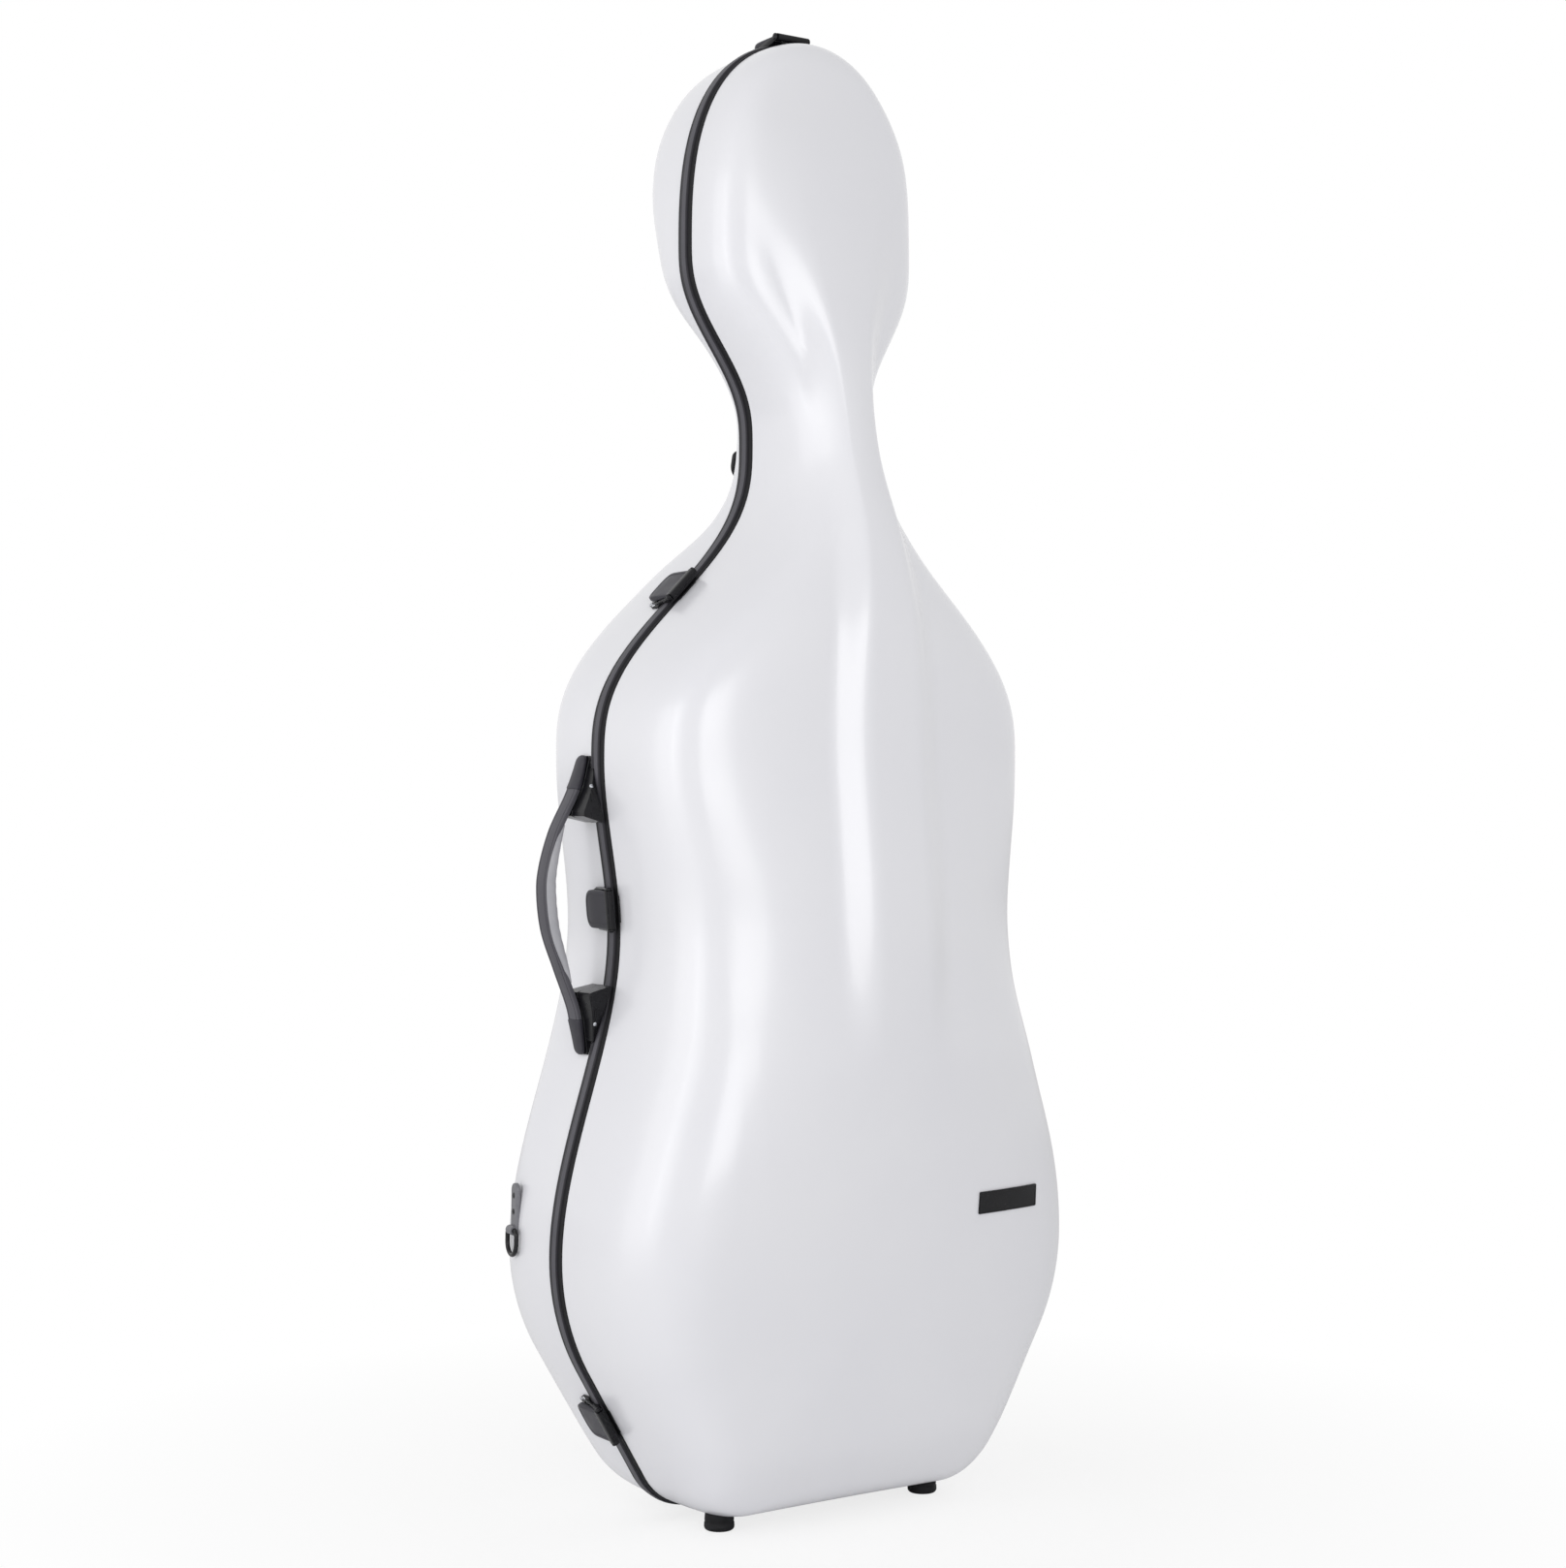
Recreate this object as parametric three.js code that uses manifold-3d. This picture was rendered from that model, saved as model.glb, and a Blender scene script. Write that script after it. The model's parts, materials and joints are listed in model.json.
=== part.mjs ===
// A hard case for a cello, standing upright on its feet.
// Two moulded half-shells meet on a seam plane: the base behind it and the lid in front,
// hinged along one side and latched along the other. Millimetres, Z up.
// Until the last lines the seam plane is Y = 0, the lid lies towards -Y,
// the handle and latches are on the -X side and the hinges on the +X side.
import * as THREE from 'three';
import { mergeVertices } from 'three/addons/utils/BufferGeometryUtils.js';
import Module from 'manifold-3d';

const wasm = await Module();
wasm.setup();

// Seam outline, seen from the front: rises from each level to the next, and half-widths
const bottomHeight = 12;
const bottomCornerRadius = 60;
const taperAngle = THREE.MathUtils.degToRad(30.2);
const lowerBoutRise = 229;
const lowerBoutHalfWidth = 244.3;
const lowerBoutRadius = 199;
const waistRise = 283;
const waistHalfWidth = 185;
const upperBoutRise = 153;
const upperBoutHalfWidth = 201.6;
const neckRise = 288;
const neckHalfWidth = 44;
const headRise = 177;
const headHalfWidth = 110;
const topRise = 190;
const headTopPower = 2.6;
const headSidePower = 2;

// Heights above the floor
const lowerBoutHeight = bottomHeight + lowerBoutRise;
const waistHeight = lowerBoutHeight + waistRise;
const upperBoutHeight = waistHeight + upperBoutRise;
const neckHeight = upperBoutHeight + neckRise;
const headHeight = neckHeight + headRise;
const topHeight = headHeight + topRise;

// Shells, their lining and the gap that touching pieces keep
const shellWall = 3.6;
const linerThickness = 8;
const seatGap = 0.3;
const lidDepth = 175;
const baseDepth = 138;
const spineTopRise = 50;
const spineTopHeight = headHeight + spineTopRise;
const ridgeHeight = 14;
const ridgeTopHalfWidth = 24;
const ridgeFootHalfWidth = 62;

// Seam: a rubber seal against the lid's edge, then a rim profile capping the base's edge
const sealDepth = 6;
const sealProud = 1;
const rimDepth = 16;
const rimProud = 2.8;
const rimWeb = 2;
const rimEdge = 4;
const edgeCoverWidth = 13;
const lidTrimThickness = 2;

// Latches: a barrel over the seam with a flat lever behind it
const shoulderLatchRise = 152;
const middleLatchRise = 22;
const lowerLatchDrop = 145;
const latchLeverLength = 34;
const latchEarThickness = 3;
const latchBarrelRadius = 4.7;
const latchBarrelDepth = 1.2;
const latchPinRadius = 1.5;
const latchPinPlay = 0.3;
const latchReach = 45;
const latchPlateThickness = 3.2;
const latchTipLift = 3.4;
const latchCornerRadius = 11;
const latchFootThickness = 2.4;
const latchFootReach = 41;
const latchScrewTab = 4;
const latchEarTurn = THREE.MathUtils.degToRad(252);
const keeperLength = 30;
const keeperDepth = 3.4;
const keeperThickness = 2.4;

// Hinges: three knuckles on a pin, with leaves down the side walls; rises above the two bouts
const lowerHingeRise = 19;
const upperHingeRise = 4;
const hingeAxisOffset = 7;
const hingeKnuckleRadius = 4.5;
const hingeKnuckleLength = 20;
const hingeKnuckleGap = 0.4;
const hingePinRadius = 1.6;
const hingePinPlay = 0.25;
const hingeLeafReach = 44;
const hingeLeafThickness = 2.4;

// Carrying handle: a bowed band on two wedge brackets, with a pad under its middle
const handleRise = 25;
const handleHalfLength = 132;
const handleSeamOffset = 32;
const handleBandWidth = 18;
const handleBandThickness = 4.5;
const handleBow = 40.2;
const handleEndLength = 32;
const gripHalfLength = 74;
const gripThickness = 8;
const gripEndThickness = 0.9;
const gripSwellPower = 0.6;
const gripEndShare = 0.97;
const bracketWidth = 21;
const bracketLength = 56;

// Feet
const frontFootSpacing = 226;
const frontFootSeamOffset = 49;
const rearFootSpacing = 140;
const rearFootSeamOffset = 55;
const footRadius = 13.5;
const footTreadRadius = 10;
const footEdgeRadius = 3;

// Strap anchors: a screwed plate with a bail that holds a loose D-ring
const anchorPlateLength = 40;
const anchorPlateWidth = 13;
const anchorPlateThickness = 2.6;
const anchorBailLength = 12;
const anchorBailRadius = 4.2;
const ringWireRadius = 1.9;
const ringInnerWidth = 19;
const ringDrop = 27;
const ringPlay = 0.5;
const lowerAnchorRise = 18;
const lowerAnchorSeamOffset = 88;
const upperAnchorDrop = 2;
const upperAnchorSeamOffset = 40;

// Bare plate on the lid
const plateWidth = 76;
const plateHeight = 20;
const plateThickness = 1.6;
const plateCentreX = 124;
const plateRise = 43;

// Padding in the base: a grooved cradle and strap for the neck, side and end cushions
const cradleDrop = 35;
const cradleLength = 64;
const cradleGrooveRadius = 19;
const cradleTopDepth = 4;
const strapWidth = 38;
const strapThickness = 2.5;
const strapOverlap = 12;
const sideCushionRise = 13;
const sideCushionLength = 170;
const sideCushionThickness = 46;
const cushionStart = 24;
const cushionDepth = 84;
const endCushionSpacing = 190;
const endCushionLength = 104;
const endCushionThickness = 54;
const endPadWidth = 74;
const endPadThickness = 34;
const cushionSquareness = 3.2;
const cushionEndShare = 0.97;

// Bow holders in the lid: grooved blocks with turning clips, and a sleeve for both tips
const bowSpacing = 124;
const bowBlockRise = 159;
const bowBlockLength = 46;
const bowBlockWidth = 40;
const bowBlockThickness = 30;
const bowGrooveRadius = 8;
const bowClipWidth = 12;
const bowClipThickness = 3.5;
const bowPostRadius = 2.5;
const bowPostPlay = 0.3;
const bowPostLength = 12;
const bowSleeveRise = 35;
const bowSleeveLength = 50;
const bowSleeveSpacing = 28;
const bowSleeveRadius = 9;
const bowSleeveWall = 3;

// Mesh fineness
const outlineSteps = 33;
const turnWeight = 0.55;
const cornerSteps = 4;
const frontSteps = 7;
const innerCornerSteps = 2;
const innerFrontSteps = 3;
const roundSteps = 16;
const smallRoundSteps = 12;
const handleSteps = 18;
const handleEndSteps = 4;
const gripSteps = 14;
const plateSteps = 8;
const ringCornerSteps = 3;
const ringBowSteps = 8;
const wireSteps = 6;
const halvings = 32;

// How each half swells along its height. Places are shares of the top's height;
// crest and crown are shares of the half's depth, corners shares of the lower bout's half-width.
const lidForm = {
  side: -1,
  depth: lidDepth,
  liningEdge: lidTrimThickness + seatGap * 2,
  wallPower: 3.4,
  crestShares: [
    [0.015, 0.672], [0.06, 0.797], [0.12, 0.883], [0.187, 0.95], [0.262, 1], [0.337, 1], [0.42, 0.955],
    [0.509, 0.905], [0.592, 0.893], [0.652, 0.82], [0.719, 0.65], [0.794, 0.542], [0.861, 0.465],
    [0.921, 0.394], [0.974, 0.326],
  ],
  crownShares: [
    [0.015, 0.155], [0.12, 0.3], [0.225, 0.39], [0.315, 0.5], [0.39, 0.52], [0.524, 0.417],
    [0.637, 0.357], [0.719, 0.27], [0.794, 0.27], [0.861, 0.245], [0.974, 0.095],
  ],
  cornerShares: [
    [0.015, 0.12], [0.06, 0.22], [0.225, 0.38], [0.315, 0.26], [0.39, 0.16], [0.637, 0.16],
    [0.719, 0.1], [0.861, 0.16],
  ],
  ridgeShares: [[0.32, 0], [0.42, 0.5], [0.524, 1], [0.75, 1], [0.84, 0.3], [0.885, 0]],
};
const baseForm = {
  side: 1,
  depth: baseDepth,
  liningEdge: sealDepth + rimWeb + seatGap,
  wallPower: 4.2,
  crestShares: [
    [0.015, 0.8], [0.045, 0.885], [0.1, 0.945], [0.172, 0.98], [0.337, 0.97], [0.509, 0.887],
    [0.6, 0.955], [0.637, 0.87], [0.674, 0.47], [0.704, 0.32], [0.742, 0.275], [0.787, 0.3],
    [0.824, 0.45], [0.865, 0.615], [0.899, 0.725], [0.936, 0.765], [0.974, 0.75],
  ],
  crownShares: [[0.015, 0.1], [0.172, 0.13], [0.6, 0.12], [0.704, 0.06], [0.787, 0.06], [0.899, 0.1]],
  cornerShares: [[0.015, 0.185], [0.6, 0.185], [0.704, 0.08], [0.787, 0.09], [0.899, 0.165]],
  ridgeShares: [[0, 0], [1, 0]],
};
const ridgeWidthShares = [[0.524, 1], [0.719, 0.5], [0.824, 0.6]];
const cornerReachShare = 0.58;

const finishes = {
  shell: { color: 0xe2e2e6, roughness: 0.28, metalness: 0 },
  trim: { color: 0x5b5b60, roughness: 0.45, metalness: 0 },
  rubber: { color: 0x17171a, roughness: 0.75, metalness: 0 },
  hardware: { color: 0x1b1b1f, roughness: 0.3, metalness: 0 },
  lever: { color: 0x3c3b42, roughness: 0.35, metalness: 0 },
  steel: { color: 0xb9bbbf, roughness: 0.25, metalness: 1 },
  darkSteel: { color: 0x6f6f73, roughness: 0.4, metalness: 1 },
  lining: { color: 0x26272c, roughness: 0.95, metalness: 0 },
  cushion: { color: 0x303138, roughness: 0.95, metalness: 0 },
  webbing: { color: 0x111114, roughness: 0.9, metalness: 0 },
};

// Solids

function solidFromTriangles(points) {
  const raw = new THREE.BufferGeometry();
  raw.setAttribute('position', new THREE.Float32BufferAttribute(points.flatMap((p) => [p.x, p.y, p.z]), 3));
  const merged = mergeVertices(raw);
  const corners = Array.from(merged.index.array);
  const kept = [];
  for (let i = 0; i < corners.length; i += 3) {
    const [a, b, c] = corners.slice(i, i + 3);
    if (a !== b && b !== c && c !== a) kept.push(a, b, c);
  }
  merged.setIndex(kept);
  return facingOut(merged);
}

function facingOut(geometry) {
  const position = geometry.attributes.position;
  const corners = Array.from(geometry.index.array);
  const [a, b, c] = [new THREE.Vector3(), new THREE.Vector3(), new THREE.Vector3()];
  let volume = 0;
  for (let i = 0; i < corners.length; i += 3) {
    a.fromBufferAttribute(position, corners[i]);
    b.fromBufferAttribute(position, corners[i + 1]);
    c.fromBufferAttribute(position, corners[i + 2]);
    volume += a.dot(b.cross(c));
  }
  if (volume < 0) geometry.setIndex(corners.reverse());
  return geometry;
}

function strip(ringA, ringB, closed) {
  const triangles = [];
  const count = closed ? ringA.length : ringA.length - 1;
  for (let i = 0; i < count; i += 1) {
    const j = (i + 1) % ringA.length;
    triangles.push(ringA[i], ringA[j], ringB[j], ringA[i], ringB[j], ringB[i]);
  }
  return triangles;
}

function fan(ring) {
  const centre = new THREE.Vector3();
  ring.forEach((p) => centre.add(p));
  centre.divideScalar(ring.length);
  return ring.flatMap((p, i) => [centre, p, ring[(i + 1) % ring.length]]);
}

// A solid through a row of sections, with flat ends
function loft(sections) {
  const triangles = sections.slice(1).flatMap((ring, i) => strip(sections[i], ring, true));
  const last = sections[sections.length - 1];
  return solidFromTriangles([...triangles, ...fan(sections[0]).reverse(), ...fan(last)]);
}

// A solid through a row of sections that closes on itself
function loop(sections) {
  const next = (i) => sections[(i + 1) % sections.length];
  return solidFromTriangles(sections.flatMap((ring, i) => strip(ring, next(i), true)));
}

// A prism of an outline in X and Y, centred on Z
function prism(points, length, holes = []) {
  const shape = new THREE.Shape(points.map(([x, y]) => new THREE.Vector2(x, y)));
  shape.holes = holes;
  const geometry = new THREE.ExtrudeGeometry(shape, { depth: length, bevelEnabled: false });
  return plain(geometry.translate(0, 0, -length / 2));
}

function circlePoints(x, y, radius, steps = roundSteps) {
  return Array.from({ length: steps }, (_, i) => {
    const angle = (i / steps) * Math.PI * 2;
    return [x + radius * Math.cos(angle), y + radius * Math.sin(angle)];
  });
}

function circleHole(x, y, radius, steps = smallRoundSteps) {
  return new THREE.Path(circlePoints(x, y, radius, steps).map(([u, v]) => new THREE.Vector2(u, v)));
}

function plain(geometry) {
  geometry.deleteAttribute('normal');
  geometry.deleteAttribute('uv');
  return mergeVertices(geometry);
}

function toManifold(geometry) {
  return new wasm.Manifold(new wasm.Mesh({
    numProp: 3,
    vertProperties: Float32Array.from(geometry.attributes.position.array),
    triVerts: Uint32Array.from(geometry.index.array),
  }));
}

function fromManifold(solid) {
  const mesh = solid.getMesh();
  const geometry = new THREE.BufferGeometry();
  geometry.setAttribute('position', new THREE.BufferAttribute(Float32Array.from(mesh.vertProperties), 3));
  geometry.setIndex(Array.from(mesh.triVerts));
  return geometry;
}

function join(...geometries) {
  return fromManifold(geometries.map(toManifold).reduce((whole, piece) => whole.add(piece)));
}

function cut(geometry, ...tools) {
  const whole = toManifold(geometry);
  return fromManifold(tools.map(toManifold).reduce((left, tool) => left.subtract(tool), whole));
}

function common(geometry, tool) {
  return fromManifold(toManifold(geometry).intersect(toManifold(tool)));
}

// Cuts a piece, given in its own frame, by solids that stand in the case's frame
function seated(geometry, frame, ...envelopes) {
  const inverse = frame.clone().invert();
  return cut(geometry, ...envelopes.map((envelope) => envelope.clone().applyMatrix4(inverse)));
}

// The seam outline

function smoothStep(u) {
  return u * u * (3 - 2 * u);
}

function smootherStep(u) {
  return u * u * u * (u * (6 * u - 15) + 10);
}

function rising(fromHeight, toHeight, fromWidth, toWidth, ease) {
  const steps = outlineSteps;
  return Array.from({ length: steps }, (_, i) => {
    const u = (i + 1) / steps;
    const width = fromWidth + (toWidth - fromWidth) * ease(u);
    return new THREE.Vector2(width, fromHeight + (toHeight - fromHeight) * u);
  });
}

function arcPoints(centreX, centreHeight, radius, fromAngle, toAngle, steps = outlineSteps) {
  return Array.from({ length: steps + 1 }, (_, i) => {
    const angle = fromAngle + ((toAngle - fromAngle) * i) / steps;
    return new THREE.Vector2(centreX + radius * Math.cos(angle), centreHeight + radius * Math.sin(angle));
  });
}

function headPoints() {
  const steps = outlineSteps;
  return Array.from({ length: steps }, (_, i) => {
    const angle = (((i + 1) / steps) * Math.PI) / 2;
    const x = headHalfWidth * Math.cos(angle) ** (2 / headSidePower);
    const height = headHeight + topRise * Math.sin(angle) ** (2 / headTopPower);
    return new THREE.Vector2(i === steps - 1 ? 0 : x, height);
  });
}

// Right half of the outline, from the middle of the flat bottom to the top of the head
function rightOutline() {
  const boutX = lowerBoutHalfWidth - lowerBoutRadius;
  const cornerHeight = bottomHeight + bottomCornerRadius;
  const drop = Math.sin(taperAngle) * (cornerHeight - lowerBoutHeight);
  const cornerX = boutX + (drop + lowerBoutRadius - bottomCornerRadius) / Math.cos(taperAngle);
  return [
    new THREE.Vector2(0, bottomHeight),
    ...arcPoints(cornerX, cornerHeight, bottomCornerRadius, -Math.PI / 2, -taperAngle),
    ...arcPoints(boutX, lowerBoutHeight, lowerBoutRadius, -taperAngle, 0),
    ...rising(lowerBoutHeight, waistHeight, lowerBoutHalfWidth, waistHalfWidth, smoothStep),
    ...rising(waistHeight, upperBoutHeight, waistHalfWidth, upperBoutHalfWidth, smoothStep),
    ...rising(upperBoutHeight, neckHeight, upperBoutHalfWidth, neckHalfWidth, smootherStep),
    ...rising(neckHeight, headHeight, neckHalfWidth, headHalfWidth, smootherStep),
    ...headPoints(),
  ];
}

const outline = rightOutline();

function outlineTangent(i) {
  if (i === 0 || i === outline.length - 1) return new THREE.Vector2(i === 0 ? 1 : -1, 0);
  return outline[i + 1].clone().sub(outline[i - 1]).normalize();
}

// Half-width of the seam at a height above the bottom corner
function halfWidthAt(height) {
  const i = Math.max(1, outline.findIndex((p) => p.y >= height && p !== outline[0]));
  const [low, high] = [outline[i - 1], outline[i]];
  const u = high.y > low.y ? (height - low.y) / (high.y - low.y) : 0;
  return low.x + (high.x - low.x) * u;
}

// Stations along the seam, closer together where it turns
function seamStations() {
  const lengths = outline.slice(1).map((p, i) => p.distanceTo(outline[i]));
  const turns = outline.slice(1).map((_, i) => Math.abs(outlineTangent(i).angleTo(outlineTangent(i + 1))));
  const lengthSum = lengths.reduce((sum, value) => sum + value, 0);
  const turnSum = turns.reduce((sum, value) => sum + value, 0);
  const marks = [0];
  lengths.forEach((length, i) => {
    marks.push(marks[i] + (length / lengthSum) * (1 - turnWeight) + (turns[i] / turnSum) * turnWeight);
  });
  const total = marks[marks.length - 1];
  const right = Array.from({ length: outlineSteps + 1 }, (_, k) => {
    const wanted = (k / outlineSteps) * total;
    const i = Math.min(marks.length - 2, Math.max(0, marks.findIndex((mark) => mark >= wanted) - 1));
    const u = k === 0 ? 0 : (wanted - marks[i]) / (marks[i + 1] - marks[i]);
    const edge = outline[i].clone().lerp(outline[i + 1], u);
    const along = outlineTangent(i).lerp(outlineTangent(i + 1), u).normalize();
    return { edge, out: new THREE.Vector2(along.y, -along.x) };
  });
  right[outlineSteps].edge.x = 0;
  right[outlineSteps].out.set(0, 1);
  const left = right.slice(1, -1).reverse().map(({ edge, out }) => ({
    edge: new THREE.Vector2(-edge.x, edge.y),
    out: new THREE.Vector2(-out.x, out.y),
  }));
  return [...right, ...left];
}

const stations = seamStations();

// The two moulded faces

// Smooth value through hand-picked places and values, without overshoot
function blendThrough(pairs, place) {
  const last = pairs.length - 1;
  if (place <= pairs[0][0]) return pairs[0][1];
  if (place >= pairs[last][0]) return pairs[last][1];
  const rise = (k) => (pairs[k + 1][1] - pairs[k][1]) / (pairs[k + 1][0] - pairs[k][0]);
  const slopeAt = (k) => {
    if (k === 0 || k === last || rise(k - 1) * rise(k) <= 0) return 0;
    return 2 / (1 / rise(k - 1) + 1 / rise(k));
  };
  const i = pairs.findIndex((pair, k) => k > 0 && place <= pair[0]) - 1;
  const span = pairs[i + 1][0] - pairs[i][0];
  const u = (place - pairs[i][0]) / span;
  const bend = u * (1 - u) * span;
  const ends = pairs[i][1] + (pairs[i + 1][1] - pairs[i][1]) * smoothStep(u);
  return ends + bend * (slopeAt(i) * (1 - u) - slopeAt(i + 1) * u);
}

// Depth of a half's face, for a point that lies inset from the seam on a line of length reach to the spine
function faceDepth(form, x, height, inset, reach, grow) {
  const place = height / topHeight;
  const ridge = ridgeHeight * blendThrough(form.ridgeShares, place);
  const crown = form.depth * blendThrough(form.crownShares, place);
  const wall = form.depth * blendThrough(form.crestShares, place) - crown - ridge;
  const corner = cornerWidth(form, height, reach, grow);
  const wallShare = Math.min(1, inset / corner);
  const crownShare = Math.min(1, inset / reach);
  const widthShare = blendThrough(ridgeWidthShares, place);
  const [top, foot] = [ridgeTopHalfWidth * widthShare, ridgeFootHalfWidth * widthShare];
  const flank = THREE.MathUtils.clamp((Math.abs(x) - top) / (foot - top), 0, 1);
  return (wall + grow) * (1 - (1 - wallShare) ** form.wallPower) ** (1 / form.wallPower)
    + crown * Math.sqrt(1 - (1 - crownShare) ** 2)
    + ridge * (1 - smoothStep(flank));
}

function cornerWidth(form, height, reach, grow) {
  const wanted = lowerBoutHalfWidth * blendThrough(form.cornerShares, height / topHeight);
  return Math.min(wanted + grow, reach * cornerReachShare);
}

// Places of the rings of a face, as insets along each line from the seam to the spine
function ringInsets(form, height, reach, grow, corners, fronts) {
  const corner = cornerWidth(form, height, reach, grow);
  const insets = Array.from({ length: corners + 1 }, (_, k) => {
    const angle = ((k / corners) * Math.PI) / 2;
    return corner * (1 - Math.cos(angle) ** (2 / form.wallPower));
  });
  for (let k = 1; k <= fronts; k += 1) insets.push(corner + ((reach - corner) * k) / fronts);
  return insets;
}

// Rings of points over a half's face, grown outwards or, below zero, drawn in.
// A straight skirt runs from the first ring, at the depth where the lining starts, to skirtLevel.
function faceRings(form, grow, skirtLevel, corners = cornerSteps, fronts = frontSteps) {
  const columns = stations.map(({ edge, out }) => {
    const start = edge.clone().addScaledVector(out, grow);
    const hub = new THREE.Vector2(0, THREE.MathUtils.clamp(edge.y, lowerBoutHeight, spineTopHeight));
    const reach = start.distanceTo(hub);
    return ringInsets(form, edge.y, reach, grow, corners, fronts).map((inset, k) => {
      const spot = k === corners + fronts ? hub.clone() : start.clone().lerp(hub, inset / reach);
      const depth = k === 0 ? form.liningEdge : faceDepth(form, spot.x, spot.y, inset, reach, grow);
      return new THREE.Vector3(spot.x, form.side * depth, spot.y);
    });
  });
  const rings = columns[0].map((_, k) => columns.map((column) => column[k]));
  if (skirtLevel === form.liningEdge) return rings;
  return [rings[0].map((p) => p.clone().setY(form.side * skirtLevel)), ...rings];
}

function ringStrips(rings) {
  return rings.slice(1).flatMap((ring, k) => strip(rings[k], ring, true));
}

// A hollow half between two faces
function hollowHalf(outer, inner) {
  return solidFromTriangles([
    ...ringStrips(outer),
    ...ringStrips(inner).reverse(),
    ...strip(inner[0], outer[0], true),
  ]);
}

// The whole space behind a face, closed at skirtLevel
function fullHalf(form, grow, skirtLevel, corners = cornerSteps, fronts = frontSteps) {
  const rings = faceRings(form, grow, skirtLevel, corners, fronts);
  const hubs = stations.map(({ edge }) => {
    const height = THREE.MathUtils.clamp(edge.y, lowerBoutHeight, spineTopHeight);
    return new THREE.Vector3(0, form.side * skirtLevel, height);
  });
  return solidFromTriangles([...strip(hubs, rings[0], true), ...ringStrips(rings)]);
}

// A profile, in steps out from the seam outline and depths behind the seam plane, run right round the seam
function seamLoop(profile) {
  return loop(stations.map(({ edge, out }) => profile.map(([step, depth]) => (
    new THREE.Vector3(edge.x + out.x * step, depth, edge.y + out.y * step)
  ))));
}

// Depth of a grown or drawn-in face straight in front of or behind a point between the two hubs
function depthAt(form, x, height, grow) {
  const reach = halfWidthAt(height) + grow;
  return faceDepth(form, x, height, reach - Math.abs(x), reach, grow);
}

// Frames on the case: X points out of the wall, Y away from the lid, Z along the seam

function seamFrame(edge, out) {
  const x = new THREE.Vector3(out.x, 0, out.y);
  const y = new THREE.Vector3(0, 1, 0);
  return new THREE.Matrix4().makeBasis(x, y, x.clone().cross(y)).setPosition(edge.x, 0, edge.y);
}

// A frame for a straight piece of a given length, lifted where the seam bulges past its ends' tangent
function seamFrameAt(height, sideSign, length) {
  const i = outline.findIndex((p, k) => k > 0 && p.y >= height);
  const along = outlineTangent(i);
  const out = new THREE.Vector2(along.y, -along.x);
  const edge = new THREE.Vector2(halfWidthAt(height), height);
  const rises = outline.map((p) => p.clone().sub(edge))
    .filter((step) => Math.abs(step.dot(along)) < length / 2).map((step) => step.dot(out));
  edge.addScaledVector(out, Math.max(0, ...rises));
  edge.x *= sideSign;
  out.x *= sideSign;
  return seamFrame(edge, out);
}

// A frame on a half's side wall or flank: X out of the wall, Z up along it as it runs over a stretch below
function wallFrame(form, height, inset, sideSign, stretch) {
  const at = (place, level) => {
    const reach = halfWidthAt(level);
    const depth = faceDepth(form, reach - place, level, place, reach, 0);
    return new THREE.Vector3(sideSign * (reach - place), form.side * depth, level);
  };
  const spot = at(inset, height);
  const up = spot.clone().sub(at(inset, height - stretch)).normalize();
  const across = at(inset + seatGap, height).sub(at(Math.max(0, inset - seatGap), height)).normalize();
  const out = across.cross(up).multiplyScalar(sideSign * form.side).normalize();
  return new THREE.Matrix4().makeBasis(out, up.clone().cross(out), up).setPosition(spot);
}

// Inset at which the wall reaches a depth
function insetAtDepth(form, height, depth) {
  const reach = halfWidthAt(height);
  let [low, high] = [0, cornerWidth(form, height, reach, 0)];
  for (let i = 0; i < halvings; i += 1) {
    const middle = (low + high) / 2;
    if (faceDepth(form, reach - middle, height, middle, reach, 0) < depth) low = middle;
    else high = middle;
  }
  return low;
}

const model = new THREE.Group();

function add(name, geometry, finish, frame = new THREE.Matrix4()) {
  const mesh = new THREE.Mesh(geometry, new THREE.MeshStandardMaterial(finish));
  mesh.name = name;
  mesh.applyMatrix4(frame);
  model.add(mesh);
  return mesh;
}

// Shells, linings and the seam

const baseEnvelope = fullHalf(baseForm, seatGap, 0);
const lidEnvelope = fullHalf(lidForm, seatGap, -edgeCoverWidth);
const liningInset = -(shellWall + seatGap);
const paddedInset = liningInset - linerThickness;

function addShells() {
  [['base', baseForm, baseForm.liningEdge], ['lid', lidForm, seatGap]].forEach(([name, form, edge]) => {
    const innerSteps = [innerCornerSteps, innerFrontSteps];
    const innerFace = faceRings(form, -shellWall, edge, ...innerSteps);
    add(`${name}_shell`, hollowHalf(faceRings(form, 0, edge), innerFace), finishes.shell);
    const behind = faceRings(form, liningInset, form.liningEdge, ...innerSteps);
    const lined = faceRings(form, paddedInset, form.liningEdge, ...innerSteps);
    add(`${name}_liner`, hollowHalf(behind, lined), finishes.lining);
  });
}

const rimProfile = [
  [-edgeCoverWidth, sealDepth], [rimProud - seatGap * 2, sealDepth], [rimProud, sealDepth + rimEdge],
  [rimProud, sealDepth + rimDepth - rimEdge], [rimProud / 2, sealDepth + rimDepth],
  [seatGap, sealDepth + rimDepth], [seatGap, sealDepth + rimWeb], [-edgeCoverWidth, sealDepth + rimWeb],
];

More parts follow.
